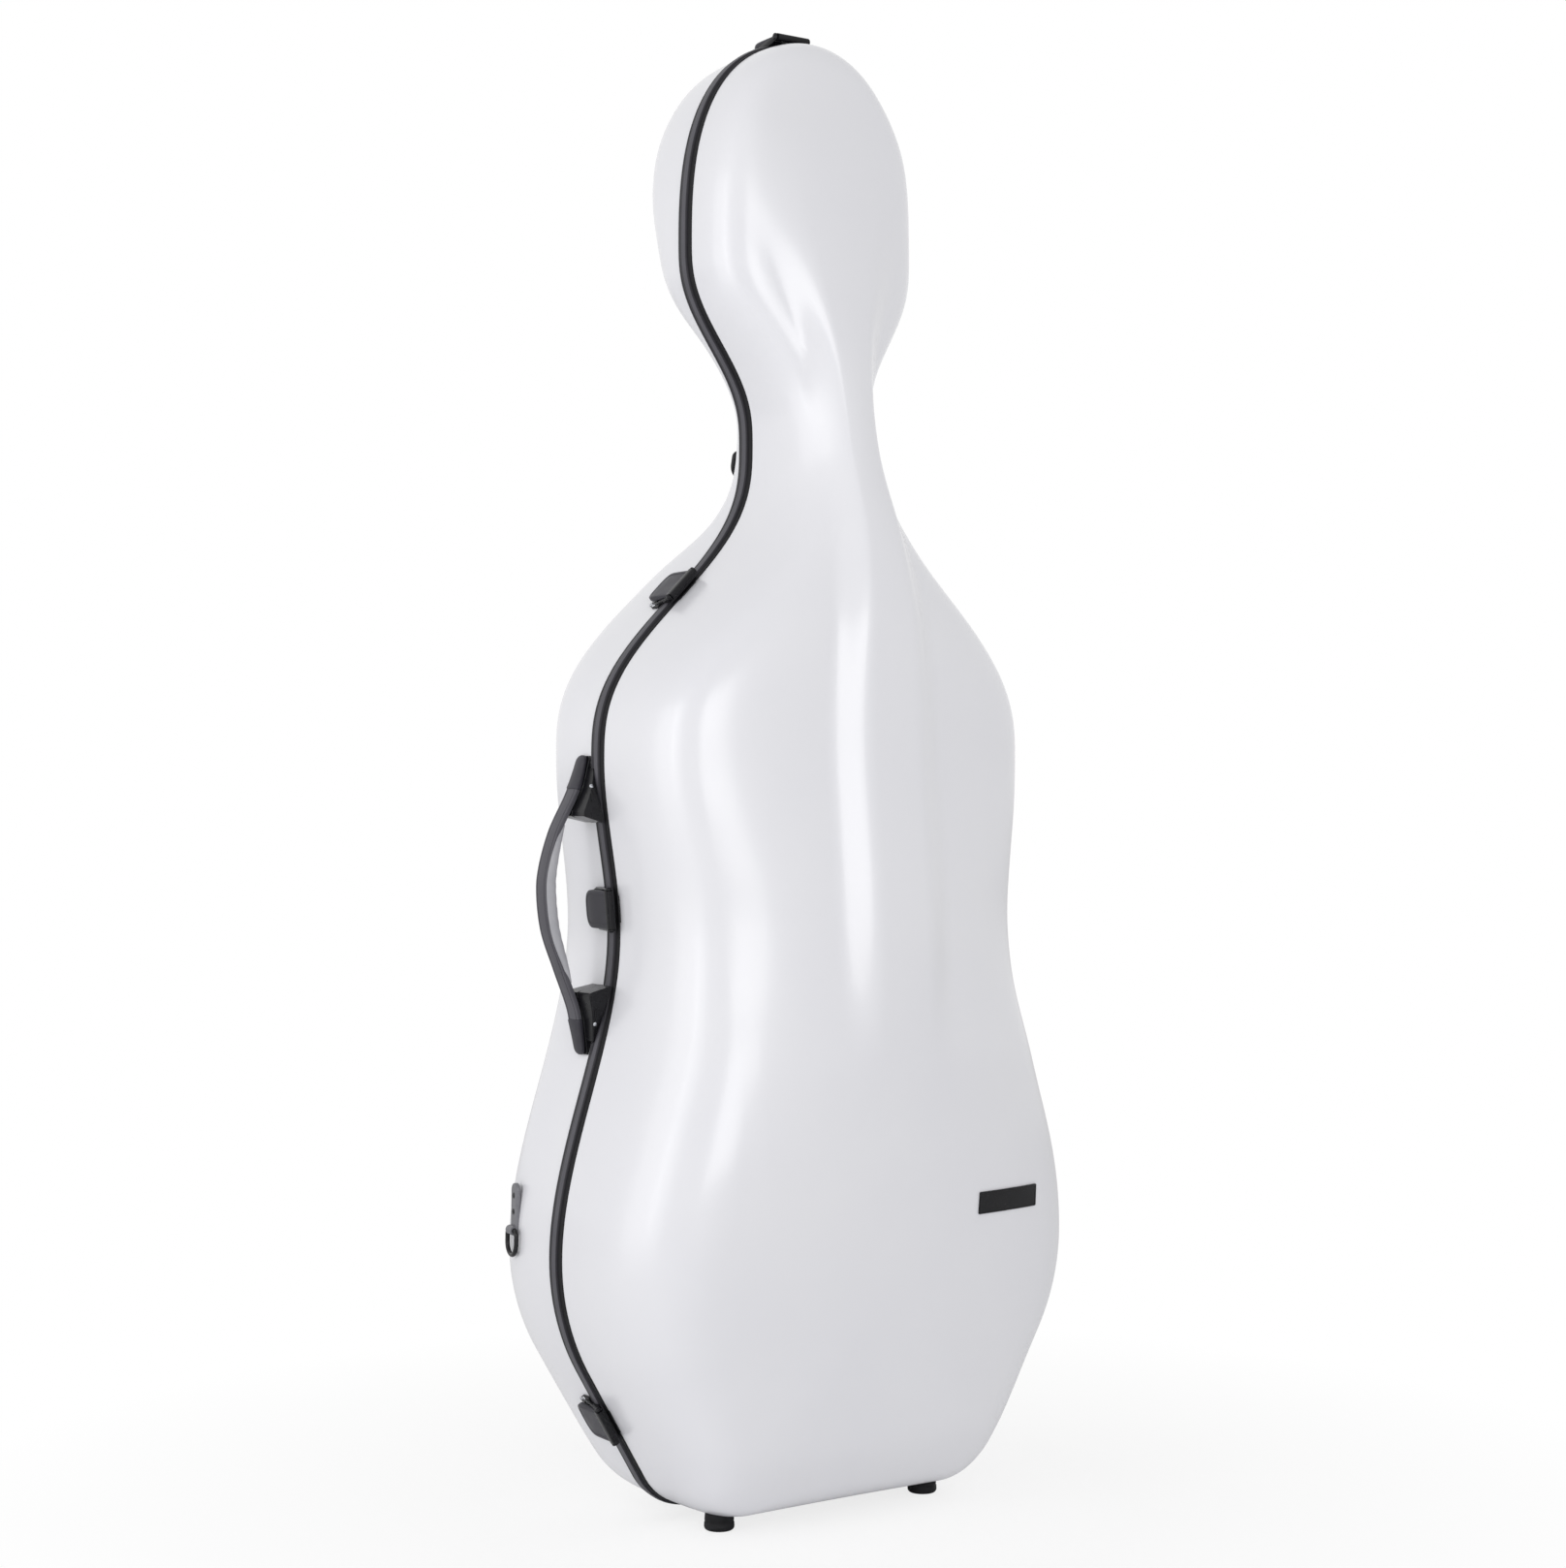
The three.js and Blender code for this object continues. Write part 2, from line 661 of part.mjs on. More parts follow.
function addSeam() {
  add('rim_profile', seamLoop(rimProfile), finishes.trim);
  const sealEnd = sealDepth - seatGap;
  add('seam_seal', seamLoop([
    [-edgeCoverWidth, 0], [sealProud, 0], [sealProud, sealEnd], [-edgeCoverWidth, sealEnd],
  ]), finishes.rubber);
  add('lid_edge_trim', seamLoop([
    [-edgeCoverWidth, -seatGap - lidTrimThickness], [liningInset, -seatGap - lidTrimThickness],
    [liningInset, -seatGap], [-edgeCoverWidth, -seatGap],
  ]), finishes.trim);
}

// The rim with room round it, for pieces that reach over it
function rimEnvelope() {
  const reach = rimProud + seatGap;
  const end = sealDepth + rimDepth + seatGap;
  return seamLoop([[-edgeCoverWidth, 0], [reach, 0], [reach, end], [-edgeCoverWidth, end]]);
}

const rimRoom = rimEnvelope();

// Latches

const latchAxis = { out: rimProud + seatGap * 2 + latchBarrelRadius, depth: latchBarrelDepth };

function latchLever() {
  const { out, depth } = latchAxis;
  const barrel = circlePoints(out, depth, latchBarrelRadius);
  const hole = circleHole(out, depth, latchPinRadius + latchPinPlay);
  const plateTop = out + latchBarrelRadius / 2;
  const plate = [
    [out, depth + latchPinRadius + latchPinPlay * 2], [plateTop, depth + latchBarrelRadius / 2],
    [plateTop - latchTipLift / 2, (depth + latchReach) / 2 + latchBarrelRadius / 2],
    [latchTipLift + latchPlateThickness, latchReach], [latchTipLift, latchReach],
    [out - latchPlateThickness / 2, depth + latchBarrelRadius],
  ];
  const body = join(prism(barrel, latchLeverLength, [hole]), prism(plate, latchLeverLength));
  return common(body, latchPlan());
}

// Plan of the lever: square at the barrel, with big round corners at its free end
function latchPlan() {
  const half = latchLeverLength / 2;
  const shape = new THREE.Shape();
  shape.moveTo(-half, -latchBarrelRadius);
  shape.lineTo(half, -latchBarrelRadius);
  shape.lineTo(half, latchReach - latchCornerRadius);
  shape.quadraticCurveTo(half, latchReach, half - latchCornerRadius, latchReach);
  shape.lineTo(latchCornerRadius - half, latchReach);
  shape.quadraticCurveTo(-half, latchReach, -half, latchReach - latchCornerRadius);
  shape.closePath();
  const depth = latchAxis.out + latchBarrelRadius * 2;
  const settings = { depth, bevelEnabled: false, curveSegments: cornerSteps };
  const geometry = new THREE.ExtrudeGeometry(shape, settings);
  return plain(geometry).rotateY(-Math.PI / 2).translate(depth, 0, 0);
}

// The base plate with two ears for the pin; its screw tab lies beyond one end
function latchFoot(tabSide) {
  const { out, depth } = latchAxis;
  const length = latchLeverLength + (latchEarThickness + seatGap) * 2;
  const wallStart = sealDepth + rimDepth;
  const floor = [
    [-latchFootThickness, wallStart], [latchFootThickness + rimProud / 2, wallStart],
    [latchFootThickness, wallStart + rimEdge], [latchFootThickness, latchFootReach],
    [-latchFootThickness, latchFootReach],
  ];
  const earRadius = latchBarrelRadius - seatGap;
  const earEnd = Math.PI + latchEarTurn;
  const ear = [
    [-latchFootThickness, wallStart + rimEdge], [rimProud, depth + latchPinRadius + latchPinPlay],
    ...arcPoints(out, depth, earRadius, Math.PI, earEnd, cornerSteps * 2).map((p) => [p.x, p.y]),
    [latchFootThickness, wallStart + latchBarrelRadius * 2],
  ];
  const earPlace = (latchLeverLength + latchEarThickness) / 2 + seatGap;
  const hole = circleHole(out, depth, latchPinRadius + latchPinPlay);
  const ears = [-earPlace, earPlace].map((place) => (
    prism(ear, latchEarThickness, [hole]).translate(0, 0, place)
  ));
  const whole = prism(floor, length + latchScrewTab).translate(0, 0, (tabSide * latchScrewTab) / 2);
  return join(whole, ...ears);
}

function latchKeeper() {
  const start = -(seatGap * 2);
  return prism([
    [-latchFootThickness, start], [keeperThickness, start], [keeperThickness, start - keeperDepth / 2],
    [seatGap * 2, start - keeperDepth], [-latchFootThickness, start - keeperDepth],
  ], keeperLength);
}

function addLatch(name, frame, tabSide) {
  const pinLength = latchLeverLength + (latchEarThickness + seatGap) * 2;
  const pin = plain(new THREE.CylinderGeometry(latchPinRadius, latchPinRadius, pinLength, smallRoundSteps));
  pin.rotateX(Math.PI / 2).translate(latchAxis.out, latchAxis.depth, 0);
  const foot = seated(latchFoot(tabSide), frame, baseEnvelope, rimRoom);
  add(`latch_foot_${name}`, foot, finishes.hardware, frame);
  add(`latch_lever_${name}`, latchLever(), finishes.lever, frame);
  add(`latch_pin_${name}`, pin, finishes.steel, frame);
  add(`latch_keeper_${name}`, seated(latchKeeper(), frame, lidEnvelope), finishes.hardware, frame);
}

function addLatches() {
  addLatch('top', seamFrame(new THREE.Vector2(0, topHeight), new THREE.Vector2(0, 1)), 1);
  const length = latchLeverLength + latchScrewTab * 2;
  [
    ['shoulder', upperBoutHeight + shoulderLatchRise, 1],
    ['middle', waistHeight + middleLatchRise, 1],
    ['lower', lowerBoutHeight - lowerLatchDrop, -1],
  ].forEach(([name, height, tabSide]) => addLatch(name, seamFrameAt(height, -1, length), tabSide));
}

// Hinges, on one straight axis that clears the widest points of both bouts

function hingeAxis() {
  const [low, high] = [lowerBoutHeight + lowerHingeRise, upperBoutHeight + upperHingeRise].map((height) => (
    new THREE.Vector2(halfWidthAt(height), height)
  ));
  const along = high.clone().sub(low).normalize();
  const out = new THREE.Vector2(along.y, -along.x);
  return { low, high, out };
}

function hingeLeaf(side) {
  const y = (value) => side * value;
  const knuckle = circlePoints(hingeAxisOffset, 0, hingeKnuckleRadius);
  const hole = circleHole(hingeAxisOffset, 0, hingePinRadius + hingePinPlay);
  const armStart = hingePinRadius + hingePinPlay * 2;
  const plateStart = side > 0 ? sealDepth + rimDepth : sealProud + hingeKnuckleRadius;
  const armHalf = hingeKnuckleRadius / 2;
  const arm = [
    [hingeAxisOffset - armHalf, y(armStart)], [hingeAxisOffset + armHalf, y(armStart)],
    [hingeAxisOffset, y(plateStart)], [hingeLeafThickness, y(plateStart + rimEdge)],
    [hingeLeafThickness, y(hingeLeafReach)], [-hingeKnuckleLength / 2, y(hingeLeafReach)],
    [-hingeKnuckleLength / 2, y(plateStart - rimWeb)], [rimProud + seatGap, y(plateStart - rimWeb)],
  ];
  return { knuckle, hole, arm: side > 0 ? arm : arm.reverse() };
}

// The flat of a leaf on the side wall, between two depths
function hingePlate(from, to, width) {
  const [inner, outer] = [-hingeKnuckleLength / 2, hingeLeafThickness];
  return prism([[inner, from], [outer, from], [outer, to], [inner, to]], width);
}

function addHinge(name, point, out) {
  const frame = seamFrame(point, out);
  const pitch = hingeKnuckleLength + hingeKnuckleGap;
  const base = hingeLeaf(1);
  const lid = hingeLeaf(-1);
  const wide = hingeKnuckleLength * 3 + hingeKnuckleGap * 2;
  const baseArms = [-pitch, pitch].map((place) => join(
    prism(base.knuckle, hingeKnuckleLength, [base.hole]),
    prism(base.arm, hingeKnuckleLength),
  ).translate(0, 0, place));
  const baseLeaf = join(...baseArms, hingePlate(sealDepth + rimDepth + rimEdge, hingeLeafReach, wide));
  add(`hinge_base_leaf_${name}`, seated(baseLeaf, frame, baseEnvelope, rimRoom), finishes.hardware, frame);
  const lidLeaf = join(
    prism(lid.knuckle, hingeKnuckleLength, [lid.hole]),
    prism(lid.arm, hingeKnuckleLength),
    hingePlate(-hingeLeafReach, -(sealProud + hingeKnuckleRadius + rimEdge), wide),
  );
  add(`hinge_lid_leaf_${name}`, seated(lidLeaf, frame, lidEnvelope), finishes.hardware, frame);
  const pin = plain(new THREE.CylinderGeometry(hingePinRadius, hingePinRadius, wide, smallRoundSteps));
  pin.rotateX(Math.PI / 2).translate(hingeAxisOffset, 0, 0);
  add(`hinge_pin_${name}`, pin, finishes.steel, frame);
}

function addHinges() {
  const { low, high, out } = hingeAxis();
  addHinge('lower', low, out);
  addHinge('upper', high, out);
}

// Handle

// Shape of the band, as shares of its half-length from the middle and of its bow
const handleBowShares = [
  [-1, 0.03], [-0.77, 0.24], [-0.48, 0.72], [-0.23, 0.963], [-0.1, 1], [0.16, 0.89], [0.42, 0.565],
  [0.69, 0.2], [0.82, 0.11], [1, 0.09],
];

function handleCurve() {
  return new THREE.CatmullRomCurve3(handleBowShares.map(([along, bow]) => (
    new THREE.Vector3(handleBow * bow, 0, handleHalfLength * along)
  )), false, 'centripetal');
}

// A band along the handle's curve between two places, under or over the curve by steps out
function handleStrip(from, to, steps, innerAt, outerAt) {
  const curve = handleCurve();
  const sections = Array.from({ length: steps + 1 }, (_, i) => {
    const u = from + ((to - from) * i) / steps;
    const point = curve.getPointAt(u);
    const along = curve.getTangentAt(u);
    const out = new THREE.Vector3(along.z, 0, -along.x);
    const [inner, outer] = [innerAt(u), outerAt(u)];
    const half = handleBandWidth / 2;
    const edge = Math.min(half, outer - inner) / 3;
    return [
      [inner, half - edge], [inner + edge, half], [outer - edge, half], [outer, half - edge],
      [outer, edge - half], [outer - edge, -half], [inner + edge, -half], [inner, edge - half],
    ].map(([step, across]) => point.clone().addScaledVector(out, step).setY(across));
  });
  return loft(sections);
}

// Stands on the side wall under both ends: X out of it and Z down along it
function handleFrame() {
  const height = waistHeight + handleRise;
  const [top, bottom] = [height + handleHalfLength, height - handleHalfLength].map((level) => (
    new THREE.Vector3(-halfWidthAt(level), handleSeamOffset, level)
  ));
  const down = bottom.clone().sub(top).normalize();
  const y = new THREE.Vector3(0, 1, 0);
  const frame = new THREE.Matrix4().makeBasis(y.clone().cross(down), y, down);
  return frame.setPosition(top.add(bottom).divideScalar(2));
}

function addHandle() {
  const frame = handleFrame();
  const curve = handleCurve();
  const share = handleEndLength / curve.getLength();
  const gap = seatGap / curve.getLength();
  const band = (from, to, steps) => handleStrip(from, to, steps, () => 0, () => handleBandThickness);
  add('handle_band', band(share + gap, 1 - share - gap, handleSteps), finishes.trim, frame);
  add('handle_end_lower', band(1 - share, 1, handleEndSteps), finishes.lever, frame);
  add('handle_end_upper', band(0, share, handleEndSteps), finishes.lever, frame);
  const gripShare = gripHalfLength / curve.getLength();
  const swell = (u) => Math.cos(((u - 0.5) / gripShare) * (Math.PI / 2)) ** gripSwellPower;
  const under = (u) => -(seatGap + gripEndThickness + gripThickness * swell(u));
  const edgeShare = gripShare * gripEndShare;
  const grip = handleStrip(0.5 - edgeShare, 0.5 + edgeShare, gripSteps, under, () => -seatGap);
  add('handle_grip', grip, finishes.rubber, frame);
  addBracket('upper', 0, 1, frame);
  addBracket('lower', 1, -1, frame);
}

// A wedge under one end of the band, cut to the side wall and the rim
function addBracket(name, start, inward, frame) {
  const curve = handleCurve();
  const steps = cornerSteps * 2;
  const upper = Array.from({ length: steps + 1 }, (_, i) => {
    const u = start + (inward * bracketLength * i) / steps / curve.getLength();
    const point = curve.getPointAt(u);
    const along = curve.getTangentAt(u);
    return [point.x - along.z * seatGap, point.z + along.x * seatGap];
  });
  const reach = lowerBoutHalfWidth - waistHalfWidth;
  const [tip, end] = [upper[0], upper[steps]];
  const endPlace = end[1] + inward * handleBandThickness;
  const side = [...upper, [end[0] - handleBandThickness, endPlace], [-reach, endPlace], [-reach, tip[1]]];
  const wedge = prism(side, bracketWidth).rotateX(Math.PI / 2);
  add(`handle_bracket_${name}`, seated(wedge, frame, baseEnvelope, rimRoom), finishes.hardware, frame);
}

// Feet

function footGeometry(height) {
  const profile = [
    new THREE.Vector2(0, 0), new THREE.Vector2(footTreadRadius, 0),
    new THREE.Vector2(footRadius - footEdgeRadius / 3, footEdgeRadius / 3),
    new THREE.Vector2(footRadius, footEdgeRadius),
    new THREE.Vector2(footRadius - footEdgeRadius / 3, height),
    new THREE.Vector2(0, height),
  ];
  return plain(new THREE.LatheGeometry(profile, roundSteps)).rotateX(Math.PI / 2);
}

function addFoot(name, x, y, envelope) {
  const frame = new THREE.Matrix4().setPosition(x, y, 0);
  const foot = seated(facingOut(footGeometry(bottomHeight * 2)), frame, envelope);
  add(name, foot, finishes.rubber, frame);
}

function addFeet() {
  [['left', -1], ['right', 1]].forEach(([side, sign]) => {
    addFoot(`foot_front_${side}`, (sign * frontFootSpacing) / 2, -frontFootSeamOffset, lidEnvelope);
    addFoot(`foot_rear_${side}`, (sign * rearFootSpacing) / 2, rearFootSeamOffset, baseEnvelope);
  });
}

// Strap anchors

function anchorPlate() {
  const half = anchorPlateWidth / 2;
  const shape = new THREE.Shape();
  shape.absarc(0, anchorPlateLength - half, half, 0, Math.PI, false);
  shape.lineTo(-half, 0);
  shape.lineTo(half, 0);
  const settings = { depth: anchorPlateThickness * 3, bevelEnabled: false, curveSegments: cornerSteps * 2 };
  const geometry = new THREE.ExtrudeGeometry(shape, settings);
  return plain(geometry).rotateX(Math.PI / 2).rotateZ(-Math.PI / 2).translate(anchorPlateThickness, 0, 0);
}

function addAnchor(name, frame) {
  const centre = anchorPlateThickness + ringWireRadius + ringPlay;
  const bail = prism(circlePoints(centre, -ringWireRadius, anchorBailRadius), anchorBailLength, [
    circleHole(centre, -ringWireRadius, ringWireRadius + ringPlay),
  ]).rotateX(Math.PI / 2);
  const plate = seated(join(anchorPlate(), bail), frame, baseEnvelope, rimRoom);
  add(`strap_plate_${name}`, plate, finishes.darkSteel, frame);
  add(`strap_ring_${name}`, dRing().translate(centre, 0, -ringWireRadius), finishes.hardware, frame);
}

// A wire bent to a D: a straight bar through the bail and a round bow hanging from it
function dRing() {
  const half = ringInnerWidth / 2 + ringWireRadius;
  const corner = ringWireRadius * 2;
  const bow = ringDrop - half;
  const points = [
    ...arcPoints(corner - half, -corner, corner, Math.PI, Math.PI / 2, ringCornerSteps),
    ...arcPoints(half - corner, -corner, corner, Math.PI / 2, 0, ringCornerSteps),
    ...arcPoints(0, -bow, half, 0, -Math.PI, ringBowSteps),
  ];
  const centre = new THREE.Vector2(0, -bow / 2);
  return loop(points.map((p, i) => {
    const next = points[(i + 1) % points.length];
    const before = points[(i + points.length - 1) % points.length];
    const along = next.clone().sub(before).normalize();
    const out = new THREE.Vector2(along.y, -along.x);
    if (out.dot(p.clone().sub(centre)) < 0) out.negate();
    return circlePoints(0, 0, ringWireRadius, wireSteps).map(([u, v]) => (
      new THREE.Vector3(u, p.x + out.x * v, p.y + out.y * v)
    ));
  }));
}

function addAnchors() {
  [
    ['lower', lowerBoutHeight + lowerAnchorRise, lowerAnchorSeamOffset],
    ['upper', neckHeight - upperAnchorDrop, upperAnchorSeamOffset],
  ].forEach(([level, height, depth]) => {
    const inset = insetAtDepth(baseForm, height, depth);
    addAnchor(`${level}_left`, wallFrame(baseForm, height, inset, -1, ringDrop));
    addAnchor(`${level}_right`, wallFrame(baseForm, height, inset, 1, ringDrop));
  });
}

// Bare plate that follows the lid's face

function addPlate() {
  const sections = Array.from({ length: plateSteps + 1 }, (_, i) => {
    const x = plateCentreX + (i / plateSteps - 0.5) * plateWidth;
    return [[-1, 0], [1, 0], [1, 1], [-1, 1]].map(([edge, face]) => {
      const height = lowerBoutHeight + plateRise + (edge * plateHeight) / 2;
      const depth = depthAt(lidForm, x, height, seatGap) + plateThickness * face;
      return new THREE.Vector3(x, -depth - seatGap, height);
    });
  });
  add('lid_plate', cut(loft(sections), lidEnvelope), finishes.hardware);
}

// Padding

// A stuffed block, fullest in its middle, with its width along X, depth along Y and length along Z
function cushion(width, depth, length) {
  const rows = cornerSteps * 2;
  const sections = Array.from({ length: rows + 1 }, (_, i) => {
    const along = Math.cos((i / rows) * Math.PI);
    const full = (1 - Math.abs(along * cushionEndShare) ** cushionSquareness) ** (1 / cushionSquareness);
    return circlePoints(0, 0, 1).map(([x, y]) => new THREE.Vector3(
      (Math.sign(x) * Math.abs(x) ** (2 / cushionSquareness) * full * width) / 2,
      (Math.sign(y) * Math.abs(y) ** (2 / cushionSquareness) * full * depth) / 2,
      (along * length) / 2,
    ));
  });
  return loft(sections);
}

function addPadding() {
  const inset = paddedInset - seatGap;
  const cavity = fullHalf(baseForm, inset, baseForm.liningEdge, innerCornerSteps, innerFrontSteps);
  const middleDepth = cushionStart + cushionDepth / 2;
  const place = (geometry, x, height) => common(geometry.translate(x, middleDepth, height), cavity);
  const height = upperBoutHeight + sideCushionRise;
  const wall = halfWidthAt(height) + paddedInset;
  const floor = bottomHeight - paddedInset;
  [['left', -1], ['right', 1]].forEach(([side, sign]) => {
    const block = cushion(sideCushionThickness * 2, cushionDepth, sideCushionLength);
    add(`side_cushion_${side}`, place(block, sign * wall, height), finishes.cushion);
    const end = cushion(endCushionLength, cushionDepth, endCushionThickness * 2);
    add(`end_cushion_${side}`, place(end, (sign * endCushionSpacing) / 2, floor), finishes.cushion);
  });
  const pad = cushion(endPadWidth, cushionDepth, endPadThickness * 2);
  add('endpin_pad', place(pad, 0, floor), finishes.rubber);
  addCradle(cavity);
}

function addCradle(cavity) {
  const height = neckHeight - cradleDrop;
  const half = halfWidthAt(height) + linerThickness;
  const top = baseForm.liningEdge + cradleTopDepth;
  const groove = arcPoints(0, top, cradleGrooveRadius, 0, Math.PI, cornerSteps * 2).map((p) => [p.x, p.y]);
  const section = [[half, top], ...groove, [-half, top], [-half, baseDepth], [half, baseDepth]];
  const block = prism(section, cradleLength).translate(0, 0, height);
  add('neck_cradle', common(block, cavity), finishes.cushion);
  const reach = cradleGrooveRadius + strapOverlap;
  const low = top - seatGap;
  const rise = low - strapThickness;
  const strap = prism([[-reach, rise], [reach, rise], [reach, low], [-reach, low]], strapWidth);
  add('neck_strap', strap.translate(0, 0, height), finishes.webbing);
}

// Bow holders

function addBowHolders() {
  const inset = paddedInset - seatGap;
  const cavity = fullHalf(lidForm, inset, lidForm.liningEdge, innerCornerSteps, innerFrontSteps);
  const height = lowerBoutHeight + bowBlockRise;
  const floor = depthAt(lidForm, bowSpacing / 2, height, paddedInset);
  const top = -(floor - bowBlockThickness);
  const half = bowBlockWidth / 2;
  const steps = cornerSteps * 2;
  const groove = arcPoints(0, top, bowGrooveRadius, Math.PI * 2, Math.PI, steps).map((p) => [p.x, p.y]);
  const section = [[half, top], ...groove, [-half, top], [-half, -lidDepth], [half, -lidDepth]];
  const landMiddle = (half + bowGrooveRadius) / 2;
  [['left', -1], ['right', 1]].forEach(([side, sign]) => {
    const middle = (sign * bowSpacing) / 2;
    const postX = sign * landMiddle;
    const hole = plain(new THREE.CylinderGeometry(
      bowPostRadius + bowPostPlay, bowPostRadius + bowPostPlay, bowPostLength * 2, smallRoundSteps,
    )).translate(postX, top, 0);
    const block = cut(prism(section, bowBlockLength), hole).translate(middle, 0, height);
    add(`bow_block_${side}`, common(block, cavity), finishes.cushion);
    const frame = new THREE.Matrix4().setPosition(middle + postX, top, height);
    add(`bow_clip_${side}`, bowClip(sign), finishes.lever, frame);
  });
  addBowSleeve(cavity);
}

// A flat clip with one round end on a post that turns in the block
function bowClip(sign) {
  const end = bowClipWidth / 2;
  const reach = bowGrooveRadius * 2 + end;
  const shape = new THREE.Shape();
  shape.absarc(0, 0, end, -Math.PI / 2, Math.PI / 2, false);
  shape.absarc(-reach, 0, end, Math.PI / 2, (Math.PI * 3) / 2, false);
  const flat = plain(new THREE.ExtrudeGeometry(shape, {
    depth: bowClipThickness, bevelEnabled: false, curveSegments: cornerSteps * 2,
  })).rotateX(-Math.PI / 2).translate(0, seatGap, 0);
  if (sign < 0) flat.rotateY(Math.PI);
  const length = bowPostLength - bowPostPlay + seatGap * 2;
  const post = plain(new THREE.CylinderGeometry(bowPostRadius, bowPostRadius, length, smallRoundSteps));
  return join(flat, post.translate(0, seatGap * 2 - length / 2, 0));
}

function addBowSleeve(cavity) {
  const outer = bowSleeveRadius + bowSleeveWall;
  const height = neckHeight + bowSleeveRise;
  const floor = depthAt(lidForm, bowSleeveSpacing / 2, height, paddedInset);
  const centre = -(floor - outer);
  const half = bowSleeveSpacing / 2;
  const crest = [
    ...arcPoints(half, centre, outer, 0, Math.PI / 2, cornerSteps),
    ...arcPoints(-half, centre, outer, Math.PI / 2, Math.PI, cornerSteps),
  ].map((p) => [p.x, p.y]);
  const holes = [-half, half].map((x) => circleHole(x, centre, bowSleeveRadius));
  const section = [...crest, [-half - outer, -lidDepth], [half + outer, -lidDepth]];
  const block = prism(section, bowSleeveLength, holes).translate(0, 0, height);
  add('bow_tip_sleeve', common(block, cavity), finishes.cushion);
}

addShells();
addSeam();
addLatches();
addHinges();
addHandle();
addFeet();
addAnchors();
addPlate();
addPadding();
addBowHolders();

// Origin: under the middle of the whole case
const box = new THREE.Box3().setFromObject(model);
const middle = box.getCenter(new THREE.Vector3());
model.position.set(-middle.x, -middle.y, 0);

export default model;
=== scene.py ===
import bisect
import json
from math import atan2, copysign, cos, hypot, pi, radians, sin, sqrt, tau
import bpy
import bmesh
from mathutils import Matrix, Vector
from mathutils.bvhtree import BVHTree


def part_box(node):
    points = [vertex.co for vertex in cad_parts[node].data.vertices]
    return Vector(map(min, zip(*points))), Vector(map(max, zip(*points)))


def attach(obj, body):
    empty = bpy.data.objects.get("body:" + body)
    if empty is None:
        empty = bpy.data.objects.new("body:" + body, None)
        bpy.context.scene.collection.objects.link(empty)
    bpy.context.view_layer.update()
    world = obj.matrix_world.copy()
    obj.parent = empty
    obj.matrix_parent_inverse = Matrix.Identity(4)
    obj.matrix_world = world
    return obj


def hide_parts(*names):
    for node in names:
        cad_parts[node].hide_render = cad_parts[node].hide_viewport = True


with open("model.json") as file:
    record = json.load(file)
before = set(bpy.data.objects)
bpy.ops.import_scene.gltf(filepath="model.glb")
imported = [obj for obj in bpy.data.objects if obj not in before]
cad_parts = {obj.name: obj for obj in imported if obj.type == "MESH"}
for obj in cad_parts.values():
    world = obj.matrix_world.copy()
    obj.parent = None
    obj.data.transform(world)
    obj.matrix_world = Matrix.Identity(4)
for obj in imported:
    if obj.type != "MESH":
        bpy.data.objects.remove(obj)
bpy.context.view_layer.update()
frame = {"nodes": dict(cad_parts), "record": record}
unit = 0.001
rimLow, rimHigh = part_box("rim_profile")
centreX = (rimLow.x + rimHigh.x) / 2
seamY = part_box("seam_seal")[0].y
record = frame["record"]
nodeSlots = {entry["node"]: entry["material_slot"] for entry in record["subparts"]}
nodeBody = {node: body for body, nodes in record["behaviour"]["bodies"].items() for node in nodes}
print("loaded", len(frame["nodes"]), "nodes")

# seam outline seen from the front, millimetres
seam = dict(
    bottomHeight=12, bottomCornerRadius=60, taperDegrees=30.2, lowerBoutHeight=241, lowerBoutHalfWidth=244.3,
    lowerBoutRadius=199, waistHeight=524, waistHalfWidth=185, upperBoutHeight=677, upperBoutHalfWidth=201.6,
    neckHeight=965, neckHalfWidth=44, headHeight=1142, headHalfWidth=110, topHeight=1332, headTopPower=2.6,
    headSidePower=2, sectionSteps=64, stationSteps=190, turnWeight=0.4,
)

# the two moulded halves, shares of the top height, of the half's depth and of the lower bout's half-width
lidForm = dict(
    side=-1, depth=175, edge=0.3, liningEdge=2.6, wallPower=3.4,
    crest=[
        (0.015, 0.672), (0.06, 0.797), (0.12, 0.883), (0.187, 0.95), (0.262, 1), (0.337, 1), (0.38, 0.997),
        (0.42, 0.983), (0.47, 0.942), (0.509, 0.91), (0.592, 0.893), (0.652, 0.82), (0.719, 0.65),
        (0.794, 0.542), (0.861, 0.465), (0.921, 0.394), (0.974, 0.326),
    ],
    crown=[
        (0.015, 0.155), (0.12, 0.3), (0.225, 0.39), (0.315, 0.5), (0.39, 0.52), (0.524, 0.417),
        (0.637, 0.357), (0.719, 0.27), (0.794, 0.27), (0.861, 0.245), (0.974, 0.095),
    ],
    corner=[
        (0.015, 0.12), (0.06, 0.22), (0.225, 0.38), (0.315, 0.26), (0.39, 0.16), (0.637, 0.16),
        (0.719, 0.1), (0.861, 0.16),
    ],
    ridge=[
        (0.305, 0), (0.365, 0.7), (0.42, 0.93), (0.524, 1), (0.76, 1), (0.83, 0.7), (0.88, 0.28), (0.93, 0),
    ],
)
